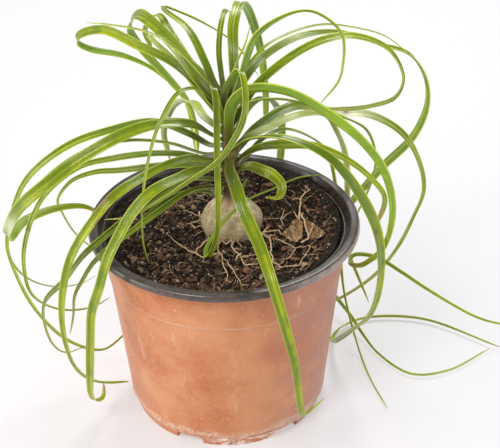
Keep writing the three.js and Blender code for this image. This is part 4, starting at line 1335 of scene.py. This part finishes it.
# Leaves: the stem height that each one leaves at, its widths and its turns about its own length
# in degrees, both spaced evenly from base to tip, its tone, and its route
LEAVES = {
    "leaf_top_left_1": (152, (4.8, 5, 4.8, 4.4, 3.6), (0, -25, -72, -90, -85), "fresh", [
        (-11, 14, 165), (-21, 26, 170), (-39, 46, 171), (-57, 64, 172), (-70, 75, 165), (-72, 79, 160),
        (-67, 84, 154), (-50, 90, 147), (-34, 94, 136), (-20, 96, 118), (-16, 97, 95), (-15, 97, 85)
    ]),
    "leaf_top_left_2": (156, (5, 5.8, 6.2, 5.4, 4.6), (0, -45, -65, -70, -75), "fresh", [
        (-9, 12, 166), (-20, 30, 176), (-31, 50, 180), (-40, 68, 178), (-45, 80, 166), (-40, 85, 153),
        (-26, 88, 133), (-17, 88, 119), (-13, 88, 97), (-14, 87, 88)
    ]),
    "leaf_top_left_3": (159, (4, 4.6, 4.2, 3.4, 2.4), (0, 0, 0, 0, 0), "green", [
        (-6, 17, 166), (-15, 32, 169), (-24, 52, 175), (-30, 69, 177), (-34, 76, 173), (-38, 82, 163),
        (-36, 84, 155), (-35, 85, 149)
    ]),
    "leaf_top_left_4": (163, (4.2, 3.8, 2.4, 1.5, 1), (0, -10, -10, 0, 0), "green", [
        (-4, 11, 168), (-7, 19, 173), (-15, 37, 183), (-25, 53, 185), (-27, 60, 184), (-27, 66, 183),
        (-24, 68, 181), (-9, 74, 171), (7, 79, 157), (20, 80, 137)
    ]),
    "leaf_top_left_5": (164, (2, 2.2, 1.8, 1.2, 0.8), (0, -15, -20, -20, -20), "green", [
        (-9, 5, 175), (-16, 9, 182), (-31, 17, 190), (-52, 29, 190), (-62, 34, 189)
    ]),
    "leaf_top_left_6": (149, (4, 4, 3.6, 3, 2), (0, 0, 0, 0, 0), "pale", [
        (-11, 18, 161), (-20, 34, 166), (-33, 55, 170), (-35, 61, 170), (-35, 67, 166), (-32, 71, 160)
    ]),
    "leaf_top_middle_1": (165, (2.6, 2.8, 2.6, 2.4, 1.8), (0, 0, 0, 0, 0), "green", [
        (0, 9, 172), (-1, 18, 180), (0, 27, 188), (2, 38, 191), (4, 47, 188), (6, 55, 182), (6, 65, 160)
    ]),
    "leaf_top_middle_2": (161.5, (4.6, 5.4, 4.8, 4, 3), (0, 35, 30, 15, 10), "green", [
        (6, 8, 171), (6, 12, 182), (6, 21, 191), (8, 32, 195), (10, 42, 194), (14, 56, 183),
        (20, 70, 157), (23, 80, 127), (23, 83, 108)
    ]),
    "leaf_top_middle_3": (165, (1.6, 1.5, 1.3, 1.1, 0.8), (0, 25, 30, 30, 30), "green", [
        (6, 4, 178), (11, 10, 187), (14, 16, 195)
    ]),
    "leaf_top_right_1": (159, (4.4, 4, 2.4, 1.8, 1.2), (0, -48, -8, 0, 0), "green", [
        (9, 1, 174), (16, 9, 191), (28, 12, 199), (39, 14, 201), (48, 14, 197), (55, 13, 189),
        (55, 8, 176), (53, 4, 171), (44, -5, 164)
    ]),
    "leaf_top_right_2": (157, (1.8, 1.8, 1.6, 1.3, 0.9), (0, 0, 0, 0, 0), "green", [
        (10, 13, 171), (20, 24, 179), (33, 36, 181), (48, 47, 180), (61, 54, 176), (80, 58, 169),
        (96, 62, 155)
    ]),
    "leaf_top_right_3": (153, (5, 5, 4.6, 5, 4), (0, 0, 0, -15, -20), "green", [
        (11, 18, 166), (21, 32, 171), (38, 44, 175), (58, 55, 172), (80, 64, 161), (95, 67, 154),
        (104, 71, 139), (106, 73, 122), (100, 75, 103), (86, 77, 85), (72, 80, 64), (56, 81, 41)
    ]),
    "leaf_top_right_4": (148, (5.4, 5.4, 4.8, 2.6, 1.8), (0, 0, 5, 0, 0), "green", [
        (9, 9, 154), (16, 15, 163), (36, 26, 175), (51, 30, 180), (63, 32, 180), (79, 32, 173),
        (86, 28, 161), (82, 20, 155), (68, 8, 156), (53, -2, 160), (46, -5, 162)
    ]),
    "leaf_bright_arch": (143, (5.5, 6.8, 3, 1.9, 0.9), (0, -10, 0, 20, 0), "fresh", [
        (3, -5, 156), (5, -7, 166), (13, -10, 174), (29, -18, 176), (45, -25, 169), (60, -30, 158),
        (70, -31, 144), (76, -27, 121), (74, -21, 97), (67, -11, 81), (64, -4, 75), (61, 4, 71),
        (65, 15, 69), (76, 17, 66), (89, 13, 59), (102, 7, 52), (127, -5, 42), (146, -12, 41)
    ]),
    "leaf_front_folded": (150, (3.6, 3.4, 2.4, 1, 0.8), (0, 0, 0, 0, 0), "fresh", [
        (-2, -2, 163), (-4, -6, 174), (-3, -12, 172), (-3, -20, 145), (-3, -26, 124), (-4, -30, 111),
        (-8, -32, 101), (-9, -27, 101), (-5, -19, 105), (5, -8, 111), (12, 2, 111), (22, 13, 109),
        (38, 30, 106), (49, 34, 105)
    ]),
    "leaf_front_thin": (158, (3.4, 3.6, 3.4, 2, 0.8), (0, 15, 15, 15, 15), "green", [
        (1, 1, 167), (4, 0, 174), (8, -5, 181), (10, -15, 176), (9, -21, 166), (5, -24, 158),
        (-2, -27, 149), (-16, -32, 141), (-30, -36, 133), (-43, -38, 127), (-53, -38, 126)
    ]),
    "leaf_left_hanging": (154, (2.6, 2.4, 1.6, 1, 0.8), (0, 0, 0, 0, 0), "green", [
        (-5, 2, 160), (-11, -2, 171), (-19, -9, 173), (-27, -18, 164), (-32, -24, 152), (-36, -30, 133),
        (-37, -33, 111), (-35, -34, 99)
    ]),
    "leaf_back_left": (144, (4, 4.6, 4, 3.4, 2.6), (0, 0, 35, 20, 10), "pale", [
        (-8, 12, 149), (-14, 27, 150), (-24, 46, 139), (-30, 58, 118), (-29, 64, 105), (-28, 67, 97)
    ]),
    "leaf_back_arch": (139, (4.4, 4.6, 3.2, 1.5, 0.8), (0, 0, 0, 0, 0), "green", [
        (8, 14, 143), (12, 26, 146), (21, 46, 142), (29, 64, 125), (31, 74, 104), (30, 80, 72),
        (36, 80, 43), (54, 71, 16), (63, 58, 9), (68, 48, 7), (74, 34, 3.4), (81, 19, 1.8),
        (96, 2, 1.8), (115, 4, 1.8), (141, 22, 1.8)
    ]),
    "leaf_back_right_1": (131, (5, 6.4, 4, 2.8, 2), (0, 28, 18, 35, 60), "green", [
        (8, 13, 133), (18, 28, 136), (36, 42, 139), (55, 50, 131), (74, 50, 129), (89, 45, 122),
        (97, 40, 111), (101, 36, 94), (96, 33, 79), (89, 34, 60), (79, 38, 41), (65, 48, 21),
        (53, 56, 8)
    ]),
    "leaf_back_right_2": (134, (5, 6.2, 5, 3.4, 1.8), (0, 0, 0, 0, 0), "pale", [
        (9, 7, 139), (22, 14, 142), (36, 22, 144), (49, 30, 140), (56, 36, 127), (61, 41, 111),
        (63, 42, 86), (64, 41, 69), (65, 39, 53), (68, 37, 45), (75, 26, 31)
    ]),
    "leaf_back_right_3": (151, (1.8, 1.9, 1.6, 1.3, 0.9), (0, -20, -20, 0, 0), "green", [
        (8, 2, 160), (24, 11, 159), (44, 22, 149), (57, 27, 141), (70, 32, 131), (76, 37, 114),
        (76, 44, 96), (71, 55, 70), (68, 59, 59)
    ]),
    "leaf_back_right_4": (126, (3, 3.2, 2.4, 1.4, 0.8), (0, 0, 0, 0, 0), "green", [
        (6, 9, 125), (10, 15, 125), (19, 27, 129), (29, 37, 129), (40, 46, 122), (52, 53, 109),
        (58, 56, 87), (61, 49, 50), (63, 41, 29), (67, 33, 12), (71, 18, 2), (74, -1, 1.5),
        (80, -25, 1.6)
    ]),
    "leaf_right_wide": (137, (5, 6.4, 4.8, 2.2, 0.9), (0, 22, 45, 48, 62, 110, 20, 0, 0), "green", [
        (6, -1, 140), (12, -4, 146), (25, -10, 150), (38, -15, 148), (49, -19, 142), (61, -23, 127),
        (69, -26, 110), (72, -26, 91), (71, -24, 69), (68, -20, 56), (63, -5, 38), (58, 13, 18),
        (56, 26, 6), (57, 34, 3), (62, 43, 2.2), (76, 52, 2.2), (108, 50, 2.2), (147, 22, 2.2)
    ]),
    "leaf_right_short": (129, (4.4, 5.6, 5.2, 4.4, 2.6), (0, 45, 35, 35, 45), "green", [
        (8, 3, 132), (16, 7, 135), (31, 12, 134), (45, 14, 131), (58, 11, 126), (69, 6, 119),
        (76, 0, 111), (73, -6, 103), (70, -10, 100)
    ]),
    "leaf_right_curled": (125, (3.6, 5.2, 5.4, 4, 2.6), (0, 60, 80, 100, 90), "fresh", [
        (7, 1, 127), (12, 1, 129), (19, 0, 127), (23, -2, 126), (27, -4, 122), (27, -7, 119),
        (25, -10, 118), (19, -12, 120)
    ]),
    "leaf_front_long": (133, (5.9, 6, 4.8, 3.6, 2.8), (0, 0, 0, 0, 0), "fresh", [
        (3, -8, 132), (5, -18, 130), (7, -26, 127), (10, -38, 124), (15, -51, 118), (20, -66, 108),
        (26, -73, 87), (29, -73, 73), (31, -70, 57), (33, -66, 39), (35, -63, 32), (39, -58, 31),
        (45, -53, 33)
    ]),
    "leaf_left_wide": (141, (5, 6.2, 6, 4.4, 1.8), (0, -30, -38, -38, -20), "fresh", [
        (-6, 2, 146), (-14, -2, 153), (-27, -6, 156), (-42, -10, 154), (-63, -16, 145), (-78, -19, 135),
        (-93, -20, 122), (-101, -15, 106), (-101, -9, 100), (-96, 9, 98), (-83, 24, 95), (-71, 35, 89),
        (-62, 45, 77)
    ]),
    "leaf_left_long": (138, (4.6, 5, 3.6, 2.6, 1.2), (0, -20, -30, -52, -85), "green", [
        (-6, 6, 138), (-16, 10, 142), (-32, 13, 147), (-53, 15, 142), (-73, 16, 134), (-93, 16, 118),
        (-103, 18, 99), (-108, 16, 79), (-106, 13, 68), (-97, 9, 45), (-82, 6, 27), (-65, 10, 17),
        (-54, 20, 19), (-49, 28, 18)
    ]),
    "leaf_left_thin": (134, (1.8, 1.9, 1.7, 1.4, 0.8), (0, -20, -30, -45, -60), "green", [
        (-9, 11, 131), (-25, 18, 133), (-44, 22, 133), (-64, 20, 130), (-83, 14, 120), (-98, 7, 106),
        (-105, 3, 90), (-105, 2, 81), (-99, 4, 68), (-88, 11, 57), (-74, 20, 52), (-67, 25, 53)
    ]),
    "leaf_left_back_1": (129, (3.8, 4.2, 3, 1.8, 1.2), (0, -20, -22, -48, -95), "green", [
        (-8, 8, 129), (-20, 14, 129), (-34, 17, 128), (-51, 19, 125), (-68, 17, 122), (-81, 12, 115),
        (-89, 7, 107), (-96, 1, 91), (-98, -1, 77), (-96, 1, 59), (-85, 8, 45), (-70, 20, 37),
        (-61, 28, 37)
    ]),
    "leaf_left_back_2": (124, (4.2, 4.8, 3.2, 1.2, 0.9), (0, -28, -32, -48, -80), "green", [
        (-7, 10, 124), (-16, 16, 122), (-35, 27, 115), (-52, 35, 109), (-65, 39, 106), (-77, 39, 101),
        (-84, 36, 92), (-82, 35, 85), (-77, 38, 71), (-66, 44, 54)
    ]),
    "leaf_left_front_1": (132, (4.8, 5, 4.4, 3.3, 1.8), (0, -20, -22, -22, -85), "fresh", [
        (-6, -1, 134), (-14, -6, 138), (-24, -11, 138), (-34, -15, 135), (-49, -29, 132),
        (-60, -35, 121), (-69, -38, 107), (-75, -37, 85), (-77, -33, 60), (-74, -27, 35),
        (-66, -17, 18), (-51, -6, 8)
    ]),
    "leaf_left_front_2": (129.5, (4.8, 5.4, 5, 4.4, 2.4), (0, -20, -25, -35, -35), "fresh", [
        (-5, -6, 132), (-13, -16, 137), (-20, -24, 138), (-31, -33, 137), (-39, -38, 131),
        (-46, -44, 122), (-52, -48, 111), (-56, -49, 98), (-61, -46, 82), (-63, -44, 66),
        (-66, -38, 37), (-67, -33, 23), (-66, -28, 15), (-63, -22, 12), (-62.5, -19.5, 15),
        (-62.5, -19.3, 18)
    ]),
    # The low leaves take the deep tone, a darker copy of the leaf colours that paints in shade
    "leaf_left_low_1": (121, (4.2, 4.8, 4, 3, 1.4), (0, 0, 0, -15, -50), "deep", [
        (-6, 0, 123), (-18, -4, 125), (-32, -12, 120), (-49, -22, 112), (-57, -28, 108),
        (-64, -31, 103), (-75, -25, 85), (-87, -17, 67), (-89, -13, 50), (-86, -12, 37), (-81, -10, 31),
        (-72, -6, 31)
    ]),
    "leaf_left_low_2": (118, (3.4, 3.8, 3.2, 2.6, 1.6), (0, 0, 0, 0, 0), "deep", [
        (-6, -2, 120), (-16, -9, 122), (-29, -17, 117), (-41, -25, 112), (-51, -32, 108),
        (-59, -37, 103), (-65, -36, 93), (-70, -34, 82), (-72, -32, 69), (-75, -28, 56)
    ]),
    "leaf_left_low_3": (114, (3.6, 4, 3.6, 2.8, 1.6), (0, 0, 0, 0, 0), "deep", [
        (-6, 1, 115), (-13, -2, 118), (-23, -7, 118), (-34, -12, 113), (-44, -16, 106)
    ]),
}
# Share of its length that has dried from the tip, for each leaf that shows it
DRY_TIPS = {"leaf_right_short": 0.12, "leaf_left_front_2": 0.03, "leaf_right_wide": 0.02}
# Faded stretches of some leaves: share of the length, reach and strength
NOT_FADED = (0, 1, 0)
FADED = {
    "leaf_back_right_1": (0.34, 0.06, 0.9),
    "leaf_left_wide": (0.6, 0.03, 0.6),
}
# Brown spots: share of the length, place across it and reach
SPOTS = {
    "leaf_back_right_1": [(0.346, 0.3, 0.006), (0.68, 1.4, 0.03)],
    "leaf_right_wide": [(0.305, -0.2, 0.006), (0.454, 0.9, 0.006), (0.85, 0.6, 0.006)],
    "leaf_left_front_1": [(0.34, -0.9, 0.02), (0.38, 0.9, 0.012)],
}


def beside_stem(height, towards):
    axis = stem_point(height)
    out = towards - axis
    out[2] = 0
    return axis + unit(out) * (stem_radius(height) + BLADE_CLEARANCE)


def spread(values, along):
    """The value at a share of the length, from values spaced evenly from base to tip."""
    place = along * (len(values) - 1)
    before = min(int(place), len(values) - 2)
    return lerp(values[before], values[before + 1], place - before)


def blade_width(widths, along, run, total):
    """Wide where it clasps the stem, narrower just above, then as its widths say."""
    width = spread(widths, along)
    body = lerp(min(BLADE_NECK, width), width, smoothstep(along, 0.0, 0.1))
    tip = np.sqrt(np.clip((total - run) / BLADE_TIP, 0.02, 1))
    clasp = smoothstep(run, SHEATH_OPENS, 2) * max(0, min(SHEATH_WIDTH, width + SHEATH_FLARE) - body)
    return body * tip + clasp


def leaf(name, start, widths, turns, tone, route):
    """A thin channelled blade with ridges, clasping the stem at its base."""
    rng = random.Random(name)
    route = [np.asarray(station, float) for station in route]
    top = beside_stem(start, route[0])
    foot = beside_stem(start - SHEATH_LENGTH, route[0])
    points, directions = curve_through([foot, top, *route], BLADE_SPACING)
    runs = run_lengths(points)
    total = runs[-1]
    outward = unit(np.array([*(top - stem_point(start))[:2], 0]))
    sideways, facing = level_frames(points, directions, np.array([-outward[1], outward[0], 0]))
    wave = rng.uniform(0, 6.28)
    upper = []
    lower = []
    across_values = np.linspace(-1, 1, BLADE_COLUMNS + 1)
    for point, level, up, run in zip(points, sideways, facing, runs):
        along = max(0.0, (run - SHEATH_LENGTH) / (total - SHEATH_LENGTH))
        breadth = blade_width(widths, along, run, total)
        opened = smoothstep(run, 3, SHEATH_OPENS + 6)
        curl = lerp(SHEATH_RADIUS, BLADE_FLATNESS, opened ** 3)
        roll = math.radians(spread(turns, along))
        roll += 0.06 * math.sin(run / 17 + wave) * opened
        side = level * math.cos(roll) + up * math.sin(roll)
        face = up * math.cos(roll) - level * math.sin(roll)
        ridge_height = RIDGE_HEIGHT * min(1, breadth / 4) * opened
        for value in across_values:
            angle = value * (breadth / 2) / curl
            fold = math.sqrt(value ** 2 + 0.03) - 0.17
            raised = curl * (1 - math.cos(angle)) + breadth * BLADE_CHANNEL * fold * opened
            raised += 0.05 * math.sin(run / 5 + wave + value * 2) * abs(value)
            raised += ridge_height * math.cos(value * math.pi * BLADE_RIDGES)
            thick = BLADE_THICKNESS / 2 * (1 - 0.6 * value ** 4) * min(1, 0.35 + breadth / 3)
            centre = point + side * (curl * math.sin(angle)) + face * raised
            upper.append(centre + face * thick)
            lower.append(centre - face * thick)
    faces, kinds = blade_faces(len(points), len(across_values))
    attributes = blade_attributes(name, runs, across_values, rng)
    piece = make_piece(name, upper + lower, faces, LEAF_TONES[tone], kinds, attributes)
    settle(piece, "leaf_blade", name)


def blade_faces(rows, columns):
    """Faces of both sides, the edges and the ends, and which of them are the underside."""
    offset = rows * columns
    faces = []
    kinds = []
    for row in range(rows - 1):
        for column in range(columns - 1):
            a = row * columns + column
            b = a + columns
            faces.append((a, a + 1, b + 1, b))
            faces.append((offset + a, offset + b, offset + b + 1, offset + a + 1))
            kinds.extend((0, 1))
        left = row * columns
        right = left + columns - 1
        faces.append((left, left + columns, offset + left + columns, offset + left))
        faces.append((right, offset + right, offset + right + columns, right + columns))
        kinds.extend((0, 0))
    for row, order in ((0, 1), (rows - 1, -1)):
        for column in range(columns - 1):
            a = row * columns + column
            faces.append((a, offset + a, offset + a + 1, a + 1)[::order])
            kinds.append(0)
    return faces, kinds


def blade_attributes(name, runs, across_values, rng):
    """Where each point lies on the leaf, and how faded, brown and dry it is there."""
    share = np.repeat(runs / runs[-1], len(across_values))
    across = np.tile(across_values, len(runs))
    dried = DRY_TIPS.get(name, DRY_TIP)
    centre, reach, strength = FADED.get(name, NOT_FADED)
    brown = np.zeros(len(share))
    for spot, side, size in SPOTS.get(name, []):
        beside = (across - side) / SPOT_HALF_WIDTH
        brown = np.maximum(brown, np.exp(-((share - spot) / size) ** 2 - beside ** 2))
    values = {
        "along": share,
        "dry": smoothstep(share, 1 - dried, 1 - dried * 0.4) * DRY_STRENGTH,
        "faded": strength * np.exp(-((share - centre) / reach) ** 2),
        "brown": brown,
        "metres": np.repeat(runs * MM, len(across_values)),
        "across": across,
        "seed": np.full(len(share), rng.uniform(0, 40)),
    }
    return {key: np.tile(value, 2) for key, value in values.items()}


for leaf_name, leaf_values in LEAVES.items():
    leaf(leaf_name, *leaf_values)


# Floor and light
def make_floor():
    mesh = bpy.data.meshes.new("floor")
    corners = [(-1, -1), (1, -1), (1, 1), (-1, 1)]
    mesh.from_pydata([(x * FLOOR_HALF, y * FLOOR_HALF, 0) for x, y in corners], [], [(0, 1, 2, 3)])
    surface = Material("studio_floor", 0.7, 0.2)
    surface.tone = FLOOR_COLOUR
    surface.set(Emission_Color=WORLD_COLOUR, Emission_Strength=FLOOR_GLOW)
    mesh.materials.append(surface.done())
    add_object("floor", mesh)


def area_light(name, place, target, size, power, colour):
    data = bpy.data.lights.new(name, "AREA")
    data.shape = "DISK"
    data.size = size
    data.energy = power
    data.color = colour
    light = add_object(name, data)
    light.location = place
    light.rotation_euler = (Vector(target) - Vector(place)).to_track_quat("-Z", "Y").to_euler()


def make_world():
    world = bpy.data.worlds.new("studio")
    world.use_nodes = True
    background = world.node_tree.nodes["Background"]
    background.inputs["Color"].default_value = WORLD_COLOUR
    background.inputs["Strength"].default_value = WORLD_STRENGTH
    bpy.context.scene.world = world
    bpy.context.scene.view_settings.view_transform = "Standard"


make_floor()
make_world()
area_light("key_light", (-0.45, -0.65, 0.95), (0, 0, 0.1), 0.4, KEY_POWER, (1.0, 0.98, 0.95))
area_light("side_light", (-1.0, -0.25, 0.35), (0, 0, 0.06), 0.7, SIDE_POWER, (1.0, 0.99, 0.97))
area_light("fill_light", (0.85, -0.35, 0.34), (0, 0, 0.1), 0.8, FILL_POWER, (0.95, 0.96, 1.0))
area_light("back_light", (0.15, 0.75, 0.95), (0, 0, 0.12), 0.45, BACK_POWER, (1.0, 1.0, 1.0))
